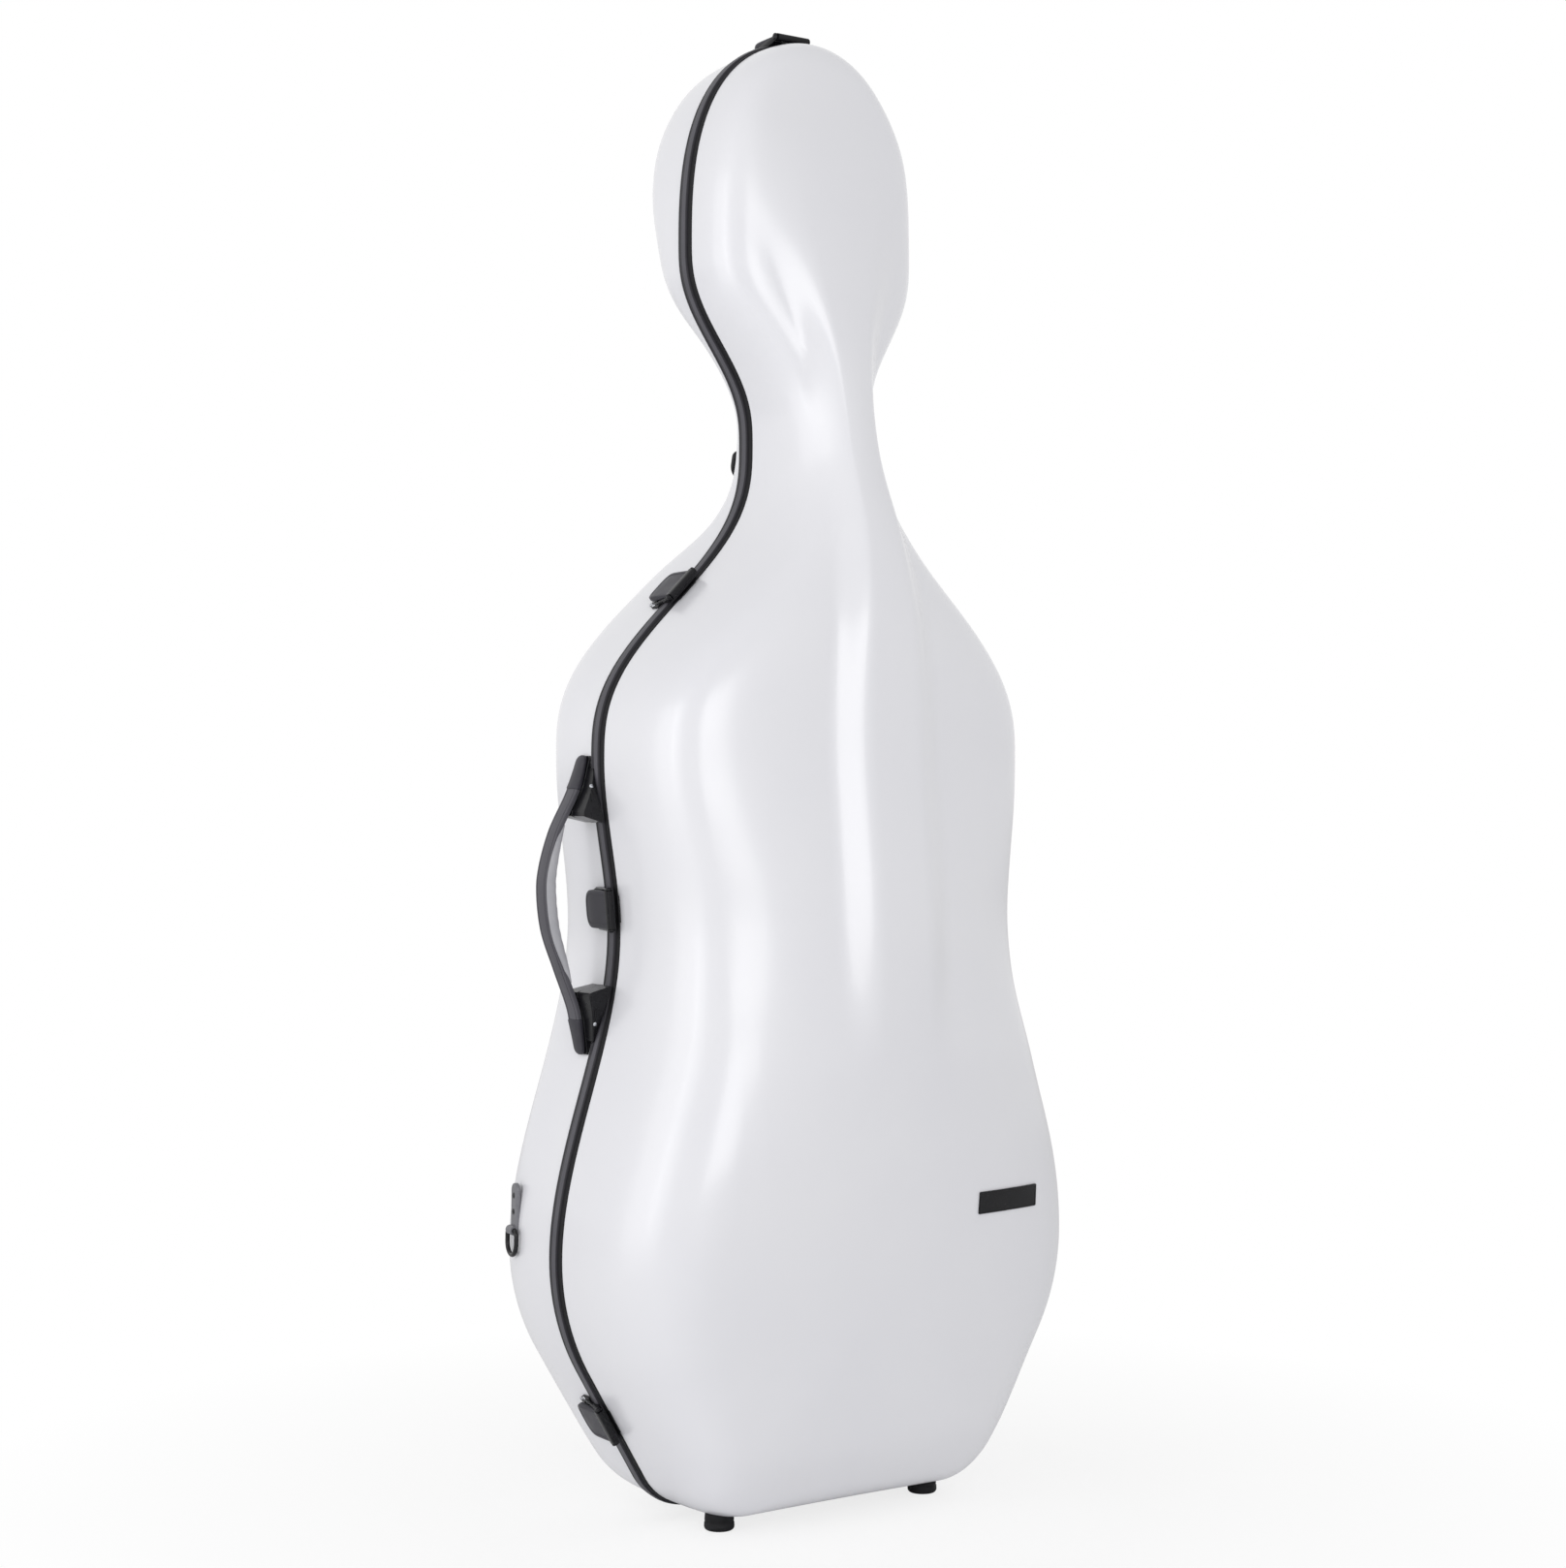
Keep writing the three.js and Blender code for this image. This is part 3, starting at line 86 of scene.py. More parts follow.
baseForm = dict(
    side=1, depth=138, edge=8.3, liningEdge=8.3, wallPower=4.2,
    crest=[
        (0.015, 0.8), (0.045, 0.885), (0.1, 0.945), (0.172, 0.98), (0.337, 0.97), (0.509, 0.887),
        (0.6, 0.955), (0.637, 0.87), (0.674, 0.47), (0.704, 0.32), (0.742, 0.275), (0.787, 0.3),
        (0.824, 0.45), (0.865, 0.615), (0.899, 0.725), (0.936, 0.765), (0.974, 0.75),
    ],
    crown=[(0.015, 0.1), (0.172, 0.13), (0.6, 0.12), (0.704, 0.06), (0.787, 0.06), (0.899, 0.1)],
    corner=[(0.015, 0.185), (0.6, 0.185), (0.704, 0.08), (0.787, 0.09), (0.899, 0.165)],
    ridge=[(0, 0), (1, 0)],
)
shell = dict(
    wall=3.6, gap=0.3, spineTopHeight=1192, ridgeHeight=14, ridgeTopHalfWidth=24, ridgeFootHalfWidth=62,
    ridgeWidth=[(0.524, 1), (0.719, 0.55), (0.77, 0.62), (0.84, 1.15), (0.9, 1.7)],
    cornerReach=0.58, softening=0.012, tableSteps=500, cornerRings=26, frontRings=34,
)


# Curves and tables

def smoothStep(u):
    return u * u * (3 - 2 * u)


def smootherStep(u):
    return u * u * u * (u * (6 * u - 15) + 10)


def between(low, value, high):
    return max(low, min(high, value))


# a smooth curve through (place, value) pairs that never swings past them
def blendThrough(pairs, place):
    last = len(pairs) - 1
    place = between(pairs[0][0], place, pairs[last][0])

    def rise(k):
        return (pairs[k + 1][1] - pairs[k][1]) / (pairs[k + 1][0] - pairs[k][0])

    def slope(k):
        if k in (0, last) or rise(k - 1) * rise(k) <= 0:
            return 0
        return 2 / (1 / rise(k - 1) + 1 / rise(k))

    i = next(k for k in range(last) if place <= pairs[k + 1][0])
    span = pairs[i + 1][0] - pairs[i][0]
    u = (place - pairs[i][0]) / span
    ends = pairs[i][1] + (pairs[i + 1][1] - pairs[i][1]) * smoothStep(u)
    return ends + u * (1 - u) * span * (slope(i) * (1 - u) - slope(i + 1) * u)


# a table of the pairs, averaged over a short stretch so that reflections run on without a kink
def softTable(pairs):
    steps = shell["tableSteps"]
    window = [(shell["softening"] * k / 4, smoothStep(1 - abs(k) / 5)) for k in range(-4, 5)]
    total = sum(weight for move, weight in window)
    values = [
        sum(blendThrough(pairs, i / steps + move) * weight for move, weight in window) / total
        for i in range(steps + 1)
    ]

    def look(place):
        spot = between(0, place, 1) * steps
        i = min(steps - 1, int(spot))
        return values[i] + (values[i + 1] - values[i]) * (spot - i)

    return look


for form in (lidForm, baseForm):
    form["look"] = {key: softTable(form[key]) for key in ("crest", "crown", "corner", "ridge")}
ridgeWidthLook = softTable(shell["ridgeWidth"])


# The seam outline as (x, height) pairs of the right half

def arcPoints(x, y, radius, fromAngle, toAngle, steps):
    angles = [fromAngle + (toAngle - fromAngle) * i / steps for i in range(steps + 1)]
    return [(x + radius * cos(a), y + radius * sin(a)) for a in angles]


def circle(radius, steps):
    return arcPoints(0, 0, radius, 0, tau, steps)[:-1]


def rising(low, high, ease):
    steps = seam["sectionSteps"]
    points = []
    for i in range(1, steps + 1):
        (x, y), (farX, farY) = [(seam[name + "HalfWidth"], seam[name + "Height"]) for name in (low, high)]
        points.append((x + (farX - x) * ease(i / steps), y + (farY - y) * i / steps))
    return points


def rightOutline():
    steps, taper = seam["sectionSteps"], radians(seam["taperDegrees"])
    bottom, radius = seam["bottomHeight"], seam["bottomCornerRadius"]
    boutRadius, boutHeight = seam["lowerBoutRadius"], seam["lowerBoutHeight"]
    boutX = seam["lowerBoutHalfWidth"] - boutRadius
    drop = sin(taper) * (bottom + radius - boutHeight)
    cornerX = boutX + (drop + boutRadius - radius) / cos(taper)
    head = []
    for i in range(1, steps + 1):
        angle = i / steps * pi / 2
        x = seam["headHalfWidth"] * max(0, cos(angle)) ** (2 / seam["headSidePower"])
        rise = (seam["topHeight"] - seam["headHeight"]) * sin(angle) ** (2 / seam["headTopPower"])
        head.append((0 if i == steps else x, seam["headHeight"] + rise))
    return [
        (0, bottom),
        *arcPoints(cornerX, bottom + radius, radius, -pi / 2, -taper, steps),
        *arcPoints(boutX, boutHeight, boutRadius, -taper, 0, steps),
        *rising("lowerBout", "waist", smoothStep),
        *rising("waist", "upperBout", smoothStep),
        *rising("upperBout", "neck", smootherStep),
        *rising("neck", "head", smootherStep),
        *head,
    ]


outline = rightOutline()
inner = [(Vector(b) - Vector(a)).normalized() for a, b in zip(outline, outline[2:])]
tangents = [Vector((1, 0)), *inner, Vector((-1, 0))]


def firstAbove(height):
    return next(k for k in range(1, len(outline)) if outline[k][1] >= height)


def halfWidthAt(height):
    i = firstAbove(height)
    (lowX, low), (highX, high) = outline[i - 1], outline[i]
    u = (height - low) / (high - low) if high > low else 0
    return lowX + (highX - lowX) * u


# stations all round the seam, closer together where it turns
def seamStations():
    lengths = [(Vector(b) - Vector(a)).length for a, b in zip(outline, outline[1:])]
    turns = [abs(a.angle(b, 0)) for a, b in zip(tangents, tangents[1:])]
    marks = [0]
    for length, turn in zip(lengths, turns):
        even = length / sum(lengths) * (1 - seam["turnWeight"])
        marks.append(marks[-1] + even + turn / sum(turns) * seam["turnWeight"])
    right = []
    for k in range(seam["stationSteps"]):
        wanted = k / seam["stationSteps"] * marks[-1]
        i = between(0, bisect.bisect_left(marks, wanted) - 1, len(marks) - 2)
        u = between(0, (wanted - marks[i]) / (marks[i + 1] - marks[i]), 1)
        along = tangents[i].lerp(tangents[i + 1], u).normalized()
        right.append((Vector(outline[i]).lerp(Vector(outline[i + 1]), u), Vector((along.y, -along.x))))
    right.append((Vector((0, seam["topHeight"])), Vector((0, 1))))
    return right + [(Vector((-e.x, e.y)), Vector((-o.x, o.y))) for e, o in reversed(right[1:-1])]


stations = seamStations()


# The moulded faces

def cornerWidth(form, height, reach, grow):
    wanted = seam["lowerBoutHalfWidth"] * form["look"]["corner"](height / seam["topHeight"])
    return min(wanted + grow, reach * shell["cornerReach"])


# how far a face stands off the seam plane at a place that lies inset from its edge, of reach to the spine
def faceDepth(form, x, height, inset, reach, grow):
    place = height / seam["topHeight"]
    look = form["look"]
    ridge = shell["ridgeHeight"] * look["ridge"](place)
    crown = form["depth"] * look["crown"](place)
    wall = form["depth"] * look["crest"](place) - crown - ridge
    wallShare = between(0, inset / cornerWidth(form, height, reach, grow), 1)
    crownShare = between(0, inset / reach, 1)
    top, foot = [shell[key] * ridgeWidthLook(place) for key in ("ridgeTopHalfWidth", "ridgeFootHalfWidth")]
    flank = between(0, (abs(x) - top) / (foot - top), 1)
    power = form["wallPower"]
    return (
        (wall + grow) * (1 - (1 - wallShare) ** power) ** (1 / power)
        + crown * sqrt(1 - (1 - crownShare) ** 2)
        + ridge * (1 - smoothStep(flank))
    )


# rings of points over a face, from the seam in to the spine
def faceRings(form, grow, edge, corners, fronts):
    columns = []
    for place, out in stations:
        start = place + out * grow
        hub = Vector((0, between(seam["lowerBoutHeight"], place.y, shell["spineTopHeight"])))
        reach = (start - hub).length
        corner = cornerWidth(form, place.y, reach, grow)
        turns = [cos(k / corners * pi / 2) ** (2 / form["wallPower"]) for k in range(corners + 1)]
        insets = [corner * (1 - turn) for turn in turns]
        insets += [corner + (reach - corner) * k / fronts for k in range(1, fronts + 1)]
        column = []
        for k, inset in enumerate(insets):
            spot = hub if k == corners + fronts else start.lerp(hub, inset / reach)
            depth = edge if k == 0 else max(edge, faceDepth(form, spot.x, spot.y, inset, reach, grow))
            column.append((spot.x, form["side"] * depth, spot.y))
        columns.append(column)
    return list(zip(*columns))


# Meshes: everything is drawn in case millimetres and set down in the row frame

def toRow(point):
    return Vector((centreX + point[0] * unit, seamY + point[1] * unit, point[2] * unit))


def newObject(name, data):
    thing = bpy.data.objects.new(name, data)
    bpy.context.scene.collection.objects.link(thing)
    return thing


# quads between rings of points, with one look or a look for each step round; a loop closes on its first ring
def addGrid(bm, rings, looks=(0,), loop=False):
    rows = [[bm.verts.new(p) for p in ring] for ring in rings]
    for a, b in zip(rows, rows[1:] + (rows[:1] if loop else [])):
        for i in range(len(a)):
            j = (i + 1) % len(a)
            bm.faces.new((a[i], a[j], b[j], b[i])).material_index = looks[i % len(looks)]
    return rows


# a skin over rings, closed by a face at each end
def addSkin(bm, rings, look=0):
    rows = addGrid(bm, rings, (look,))
    for ring in (rows[0], rows[-1]):
        bm.faces.new(ring).material_index = look


# a closed prism of an (x, y) outline from z low to z high
def addPrism(bm, points, low, high, look=0):
    addSkin(bm, [[(x, y, z) for x, y in points] for z in (low, high)], look)


def addLathe(bm, profile, steps):
    addSkin(bm, [[(x, y, level) for x, y in circle(max(radius, 1e-5), steps)] for radius, level in profile])


# two faces of a sheet of rings, joined round the mouth
def addFaces(bm, outer, inner):
    a, b = addGrid(bm, outer)[0], addGrid(bm, inner)[0]
    for i in range(len(a)):
        j = (i + 1) % len(a)
        bm.faces.new((a[i], b[i], b[j], a[j]))
    tidy(bm)


def tidy(bm, closeBy=1e-4):
    bmesh.ops.remove_doubles(bm, verts=bm.verts, dist=closeBy)
    bmesh.ops.dissolve_degenerate(bm, edges=bm.edges, dist=closeBy)
    bmesh.ops.recalc_face_normals(bm, faces=bm.faces)


def bevelEdges(bm, width, segments=2, degrees=30):
    limit = radians(degrees)
    edges = [e for e in bm.edges if len(e.link_faces) == 2 and e.calc_face_angle(0) > limit]
    bmesh.ops.bevel(
        bm, geom=edges, offset=width, offset_type="OFFSET", segments=segments, profile=0.5,
        affect="EDGES", clamp_overlap=True, material=-1,
    )


# takes a drawing up into another and frees it
def merge(bm, part, matrix=Matrix()):
    mesh = bpy.data.meshes.new("part")
    part.to_mesh(mesh)
    part.free()
    mesh.transform(matrix)
    bm.from_mesh(mesh)
    bpy.data.meshes.remove(mesh)


# a prism with softened edges as a part of a drawing
def addBlock(bm, points, low, high, bevel):
    block = bmesh.new()
    addPrism(block, points, low, high)
    tidy(block)
    bevelEdges(block, bevel)
    merge(bm, block)


def applied(piece):
    bpy.context.view_layer.update()
    return bpy.data.meshes.new_from_object(piece.evaluated_get(bpy.context.evaluated_depsgraph_get()))


# what is left of one drawing when another is cut out of it
def cutAway(bm, cutter, crossing=False):
    things = []
    for drawing in (bm, cutter):
        bmesh.ops.recalc_face_normals(drawing, faces=drawing.faces)
        things.append(newObject("cut", bpy.data.meshes.new("cut")))
        drawing.to_mesh(things[-1].data)
        drawing.free()
    cut = things[0].modifiers.new("cut", "BOOLEAN")
    cut.operation, cut.object, cut.solver, cut.use_self = "DIFFERENCE", things[1], "EXACT", crossing
    mesh = applied(things[0])
    for thing in things:
        bpy.data.objects.remove(thing)
    return mesh


# turns a drawing into a piece, shaded smooth with its real edges kept; it stands for the node of its name, in
# that node's slot and look, or where it has an owner it only rides with that node
def addPiece(name, bm, sharpDegrees, matrix=Matrix(), looks=(), owner=None):
    bmesh.ops.recalc_face_normals(bm, faces=bm.faces)
    limit = radians(sharpDegrees)
    for edge in bm.edges:
        edge.smooth = len(edge.link_faces) != 2 or edge.calc_face_angle(0) < limit
    for face in bm.faces:
        face.smooth = True
    for vertex in bm.verts:
        vertex.co = toRow(matrix @ vertex.co)
    piece = newObject(name, bpy.data.meshes.new(name))
    bm.to_mesh(piece.data)
    bm.free()
    node = owner or name
    for look in looks or (slotLooks[nodeSlots[node]],):
        piece.data.materials.append(materials[look])
    if not owner:
        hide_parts(name)
    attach(piece, nodeBody[node])
    return piece


# Materials

def linear(code):
    parts = [int(code[i:i + 2], 16) / 255 for i in (1, 3, 5)]
    return (*[c / 12.92 if c <= 0.04045 else ((c + 0.055) / 1.055) ** 2.4 for c in parts], 1)


# adds a node and gives one of its outputs; a name with a capital is a socket, or its place after two
# underscores, and takes a value or a link, and any other name is a setting
def addNode(tree, kind, output=0, **values):
    node = tree.nodes.new(kind)
    for key in sorted(values, key=lambda key: key[0].isupper()):
        value = values[key]
        if not key[0].isupper():
            setattr(node, key, value)
            continue
        name, _, place = key.replace("_", " ").partition("  ")
        socket = node.inputs[int(place) if place else name]
        if isinstance(value, bpy.types.NodeSocket):
            tree.links.new(value, socket)
        else:
            socket.default_value = value
    return node.outputs[output] if node.outputs else node


def newMaterial(name):
    material = bpy.data.materials.new(name)
    material.use_nodes = True
    material.node_tree.nodes.clear()
    return material, material.node_tree


# mottled surfaces share one recipe: two close colours, uneven gloss and a fine relief
plain = dict(
    ior=1.5, specular=0.5, metallic=0, coat=0, coatRoughness=0.1, sheen=0, sheenRoughness=0.4, grainDetail=2,
)


def plainMaterial(name, own):
    look = plain | own
    material, tree = newMaterial(name)
    place = addNode(tree, "ShaderNodeTexCoord", "Object")
    scales = (look["mottle"], 4, 0.5), (look["grain"], look["grainDetail"], 0.55)
    mottle, grain = [
        addNode(
            tree, "ShaderNodeTexNoise", Vector=place, Scale=1 / (size * unit), Detail=detail, Roughness=rough,
        )
        for size, detail, rough in scales
    ]
    patches = addNode(tree, "ShaderNodeMapRange", In__0=mottle, In__1=0.3, In__2=0.7)
    low, high = look["rough"]
    first, second = [linear(code) for code in look["colours"]]
    colour = addNode(tree, "ShaderNodeMix", 2, data_type="RGBA", In__0=patches, In__6=first, In__7=second)
    surface = addNode(
        tree, "ShaderNodeBsdfPrincipled", Base_Color=colour, IOR=look["ior"], Metallic=look["metallic"],
        Roughness=addNode(tree, "ShaderNodeMapRange", In__0=patches, In__3=low, In__4=high),
        Specular_IOR_Level=look["specular"], Coat_Weight=look["coat"], Coat_Roughness=look["coatRoughness"],
        Sheen_Weight=look["sheen"], Sheen_Roughness=look["sheenRoughness"],
        Normal=addNode(tree, "ShaderNodeBump", Height=grain, Distance=look["relief"] * unit, Strength=1),
    )
    addNode(tree, "ShaderNodeOutputMaterial", Surface=surface)
    return material


surfaces = dict(
    # sprayed gelcoat over the moulded shell: a near-white satin gloss whose orange peel softens reflections
    gelcoat=dict(
        colours=("#E2E2E7", "#E5E5E9"), mottle=160, rough=(0.3, 0.35), grain=7, relief=0.012, coat=0.6,
        coatRoughness=0.2,
    ),
    # extruded vinyl, slightly dull from the die: the grey convex band of the seam, a painted highlight along
    # its crown
    extrudedVinyl=dict(
        colours=("#4C4B51", "#55545A"), mottle=30, rough=(0.42, 0.52), grain=2, relief=0.02, specular=0.3,
    ),
    # the band's own darker vinyl, on its sides beside the painted highlight, and on the lid's edge trim
    darkVinyl=dict(
        colours=("#1F1E24", "#29282E"), mottle=30, rough=(0.4, 0.5), grain=2, relief=0.02, specular=0.3,
    ),
    # moulded rubber, matt and nearly black
    rubber=dict(
        colours=("#141416", "#1C1C1F"), mottle=14, rough=(0.6, 0.75), grain=1.2, relief=0.03, specular=0.25,
    ),
    # injection-moulded nylon with a polished tool finish: glossy black brackets and hinges
    glossyNylon=dict(
        colours=("#101013", "#17171A"), mottle=25, rough=(0.2, 0.3), grain=5, relief=0.01, specular=0.22,
    ),
    # moulded plastic with a spark-eroded texture: the dark grey lever plates
    texturedPlastic=dict(
        colours=("#2C2B32", "#36353C"), mottle=12, rough=(0.38, 0.5), grain=0.5, relief=0.05, specular=0.3,
    ),
    # zinc-plated steel screws and pins, bright with soft reflections
    zincSteel=dict(
        colours=("#B8BABF", "#C8CACE"), mottle=5, rough=(0.22, 0.34), grain=1, relief=0.01, metallic=1,
    ),
    # pressed steel with a dull grey coating
    coatedSteel=dict(
        colours=("#6E6E73", "#7A7A7F"), mottle=9, rough=(0.4, 0.5), grain=0.8, relief=0.02, metallic=0.3,
    ),
    # blackened steel pins, dull under their oil
    blackSteel=dict(
        colours=("#1C1C1F", "#242428"), mottle=6, rough=(0.35, 0.45), grain=1, relief=0.01, metallic=0.6,
    ),
    # wire with a baked black coat, glossy on its round
    blackWire=dict(
        colours=("#121214", "#1B1B1E"), mottle=6, rough=(0.22, 0.34), grain=1, relief=0.01, specular=0.3,
    ),
    # soft grey grip rubber, matt
    gripRubber=dict(colours=("#A2A2A7", "#AEAEB2"), mottle=18, rough=(0.5, 0.6), grain=0.9, relief=0.03),
    # short-pile velvet bonded to foam, with the light caught by its pile
    velvet=dict(
        colours=("#1D1E24", "#292A31"), mottle=28, rough=(0.85, 0.95), grain=0.9, relief=0.12, sheen=0.7,
        sheenRoughness=0.45, grainDetail=4,
    ),
    # brushed knit over the cushions, with a faint fuzz along its rounds
    brushedKnit=dict(
        colours=("#2A2B33", "#34353D"), mottle=20, rough=(0.8, 0.9), grain=1.1, relief=0.1, sheen=0.5,
        sheenRoughness=0.5, grainDetail=4,
    ),
    # polypropylene webbing, black with a coarse dry weave
    webbing=dict(colours=("#0F0F12", "#19191C"), mottle=6, rough=(0.6, 0.75), grain=1.4, relief=0.15),
)
materials = {name: plainMaterial(name, look) for name, look in surfaces.items()}
slotLooks = dict(
    shell="gelcoat", trim="extrudedVinyl", rubber="rubber", hardware="glossyNylon", lever="texturedPlastic",
    steel="zincSteel", dark_steel="coatedSteel", ring="blackWire", lining="velvet", cushion="brushedKnit",
    webbing="webbing",
)
for node, piece in frame["nodes"].items():
    for place in piece.material_slots:
        place.material = materials[slotLooks[nodeSlots[node]]]
print("materials", len(materials))


# Shells

def addShell(name, form):
    bm = bmesh.new()
    corners, fronts = shell["cornerRings"], shell["frontRings"]
    outer = faceRings(form, 0, form["edge"], corners, fronts)
    addFaces(bm, outer, faceRings(form, -shell["wall"], form["edge"], corners // 3, fronts // 3))
    addPiece(name, bm, 60)


addShell("lid_shell", lidForm)
addShell("base_shell", baseForm)
print("shells")


# Seam: profiles in steps out from the outline and depths behind the seam plane, run right round the case

edges = dict(
    rim=[
        (-13, 6), (2, 6), (2.5, 6.3), (2.75, 7), (2.8, 7.8), (3.1, 9.2), (3.25, 10.6), (3.25, 12), (3.15, 13),
        (2.8, 14.6), (2.45, 15), (2.2, 15.3), (2.35, 15.8), (2.6, 16.4), (2.55, 17.5), (2.1, 18.7),
        (1.2, 19.5), (0.3, 19.5), (0.3, 8), (-13, 8),
    ],
    # the faces after these points are the grey convex band, painted lighter as a highlight along its crown
    band=range(3, 7),
    seal=[
        (-13, 0), (0.2, 0), (0.75, 0.5), (1, 1.6), (0.9, 2.6), (0.6, 3), (0.95, 3.5), (1, 4.7), (0.7, 5.7),
        (-13, 5.7),
    ],
    lidTrim=[(-13, -2.3), (-12.6, -2.7), (-4.3, -2.7), (-3.9, -2.3), (-3.9, -0.3), (-13, -0.3)],
)


def sweepSeam(name, profile, sharpDegrees, looks=(), owner=None, band=()):
    bm = bmesh.new()
    rings = [[(e.x + o.x * step, depth, e.y + o.y * step) for step, depth in profile] for e, o in stations]
    addGrid(bm, rings, [int(i in band) for i in range(len(profile))], True)
    tidy(bm)
    addPiece(name, bm, sharpDegrees, looks=looks, owner=owner)


# the rim's grey faces are a painted highlight on its dark vinyl
sweepSeam("rim_profile", edges["rim"], 50, ("darkVinyl", "extrudedVinyl"), band=edges["band"])
sweepSeam("seam_seal", edges["seal"], 50)
sweepSeam("lid_edge_trim", edges["lidTrim"], 50, ("darkVinyl",))
print("seam")


# Frames on the case: X points out of the wall, Y away from the lid, Z along the seam

def at(x, y, z):
    return Matrix.Translation((x, y, z))


def frameOf(x, y, origin):
    return at(*origin) @ Matrix((x, y, x.cross(y))).transposed().to_4x4()


def seamFrame(edge, out):
    return frameOf(Vector((out.x, 0, out.y)), Vector((0, 1, 0)), (edge.x, 0, edge.y))


# a frame for a straight piece on the left, lifted where the seam bulges past the tangent of its ends
def seamFrameAt(height, length):
    along = tangents[firstAbove(height)]
    out = Vector((along.y, -along.x))
    edge = Vector((halfWidthAt(height), height))
    steps = [Vector(p) - edge for p in outline]
    edge += out * max([0, *[s.dot(out) for s in steps if abs(s.dot(along)) < length / 2]])
    return seamFrame(Vector((-edge.x, edge.y)), Vector((-out.x, out.y)))


def wallPoint(form, inset, height, side):
    reach = halfWidthAt(height)
    depth = faceDepth(form, reach - inset, height, inset, reach, 0)
    return Vector((side * (reach - inset), form["side"] * depth, height))


# a frame on a half's side wall: X out of it, Z up along it over a stretch below
def wallFrame(form, height, inset, side, stretch):
    spot = wallPoint(form, inset, height, side)
    up = (spot - wallPoint(form, inset, height - stretch, side)).normalized()
    gap = shell["gap"]
    across = wallPoint(form, inset + gap, height, side) - wallPoint(form, max(0, inset - gap), height, side)
    out = (across.normalized().cross(up) * side * form["side"]).normalized()
    return frameOf(out, up.cross(out), spot)


def insetAtDepth(form, height, depth):
    reach = halfWidthAt(height)
    low, high = 0, cornerWidth(form, height, reach, 0)
    for _ in range(30):
        middle = (low + high) / 2
        if faceDepth(form, reach - middle, height, middle, reach, 0) < depth:
            low = middle
        else:
            high = middle
    return low


# Small shapes

# points mirrored across b = 0, back to front, so that they close a ring
def flipped(points):
    return [(a, -b) for a, b in reversed(points)]


def mirrored(points):
    return [(-x, y) for x, y in reversed(points)]


def squared(value, power):
    return copysign(abs(value) ** power, value)


# a ring of (a, b) points round a rectangle from a low to a high, evenly either side of b = 0
def roundedRing(low, high, half, nearRadius, farRadius, inset, steps, sideSteps):
    low, high, half = low + inset, high - inset, half - inset
    near, far = max(0.05, nearRadius - inset), max(0.05, farRadius - inset)
    ring = [
        *arcPoints(low + near, half - near, near, pi, pi / 2, steps),
        *[(low + near + (high - far - low - near) * k / sideSteps, half) for k in range(1, sideSteps)],
        *arcPoints(high - far, half - far, far, pi / 2, 0, steps),
    ]
    return ring + flipped(ring)


# a plate drawn as rings of (inset, level); place turns (a, b, level) into a point
def addPlate(bm, box, levels, place, steps=6, sideSteps=1):
    rings = [
        [place(a, b, level) for a, b in roundedRing(*box, inset, steps, sideSteps)] for inset, level in levels
    ]
    rows = addGrid(bm, rings)
    for ring in (rows[0], rows[-1]):
        last = len(ring) - 1
        for i in range(last // 2):
            bm.faces.new((ring[i], ring[i + 1], ring[last - i - 1], ring[last - i]))


def rodProfile(radius, low, high, edge, headRadius=0, headHeight=0):
    if not headRadius:
        body = [(radius - edge, low), (radius, low + edge), (radius, high - edge), (radius - edge, high)]
        return [(0, low), *body, (0, high)]
    dome = [(headRadius * cos(a), headHeight * sin(a)) for a in (0, 0.4, 0.8, 1.2)]
    bottom = [(r, low - h) for r, h in reversed(dome)]
    top = [(r, high + h) for r, h in dome]
    return [(0, low - headHeight), *bottom, (radius, low), (radius, high), *top, (0, high + headHeight)]


def addPin(node, matrix, radius, half, head, looks=()):
    bm = bmesh.new()
    addLathe(bm, rodProfile(radius, -half, half, 0, *head), 24)
    tidy(bm)
    addPiece(node, bm, 35, matrix, looks)


screw = dict(
    profile=[(0, -0.3), (1, -0.3), (1, 0.07), (0.95, 0.154), (0.8, 0.2296), (0.55, 0.28), (0, 0.2968)],
    slotLength=0.62, slotWidth=0.17, slotFloor=0.08, slotTop=0.56, steps=32, turnStep=0.9,
)


# a pan head of radius 1 with a cross recess, drawn once and copied wherever a screw sits
def screwTemplate():
    head, cross = bmesh.new(), bmesh.new()
    addLathe(head, screw["profile"], screw["steps"])
    tidy(head)
    reach, half = screw["slotLength"], screw["slotWidth"] / 2
    slot = [(-reach, -half), (reach, -half), (reach, half), (-reach, half)]
    for corners in (slot, [(-y, x) for x, y in slot]):
        addPrism(cross, corners, screw["slotFloor"], screw["slotTop"])
    return cutAway(head, cross, True)


screwMesh = screwTemplate()


# screws that ride with one node, each at a frame whose X points out of the surface
def addScrews(name, owner, places, radius, turn=0.6, look="zincSteel"):
    bm = bmesh.new()
    size = Matrix.Rotation(pi / 2, 4, "Y") @ Matrix.Diagonal((radius, radius, radius, 1))
    for k, place in enumerate(places):
        mesh = screwMesh.copy()
        mesh.transform(place @ size @ Matrix.Rotation(turn + k * screw["turnStep"], 4, "Z"))
        bm.from_mesh(mesh)
        bpy.data.meshes.remove(mesh)
    addPiece(name, bm, 35, looks=(look,), owner=owner)


# Latches

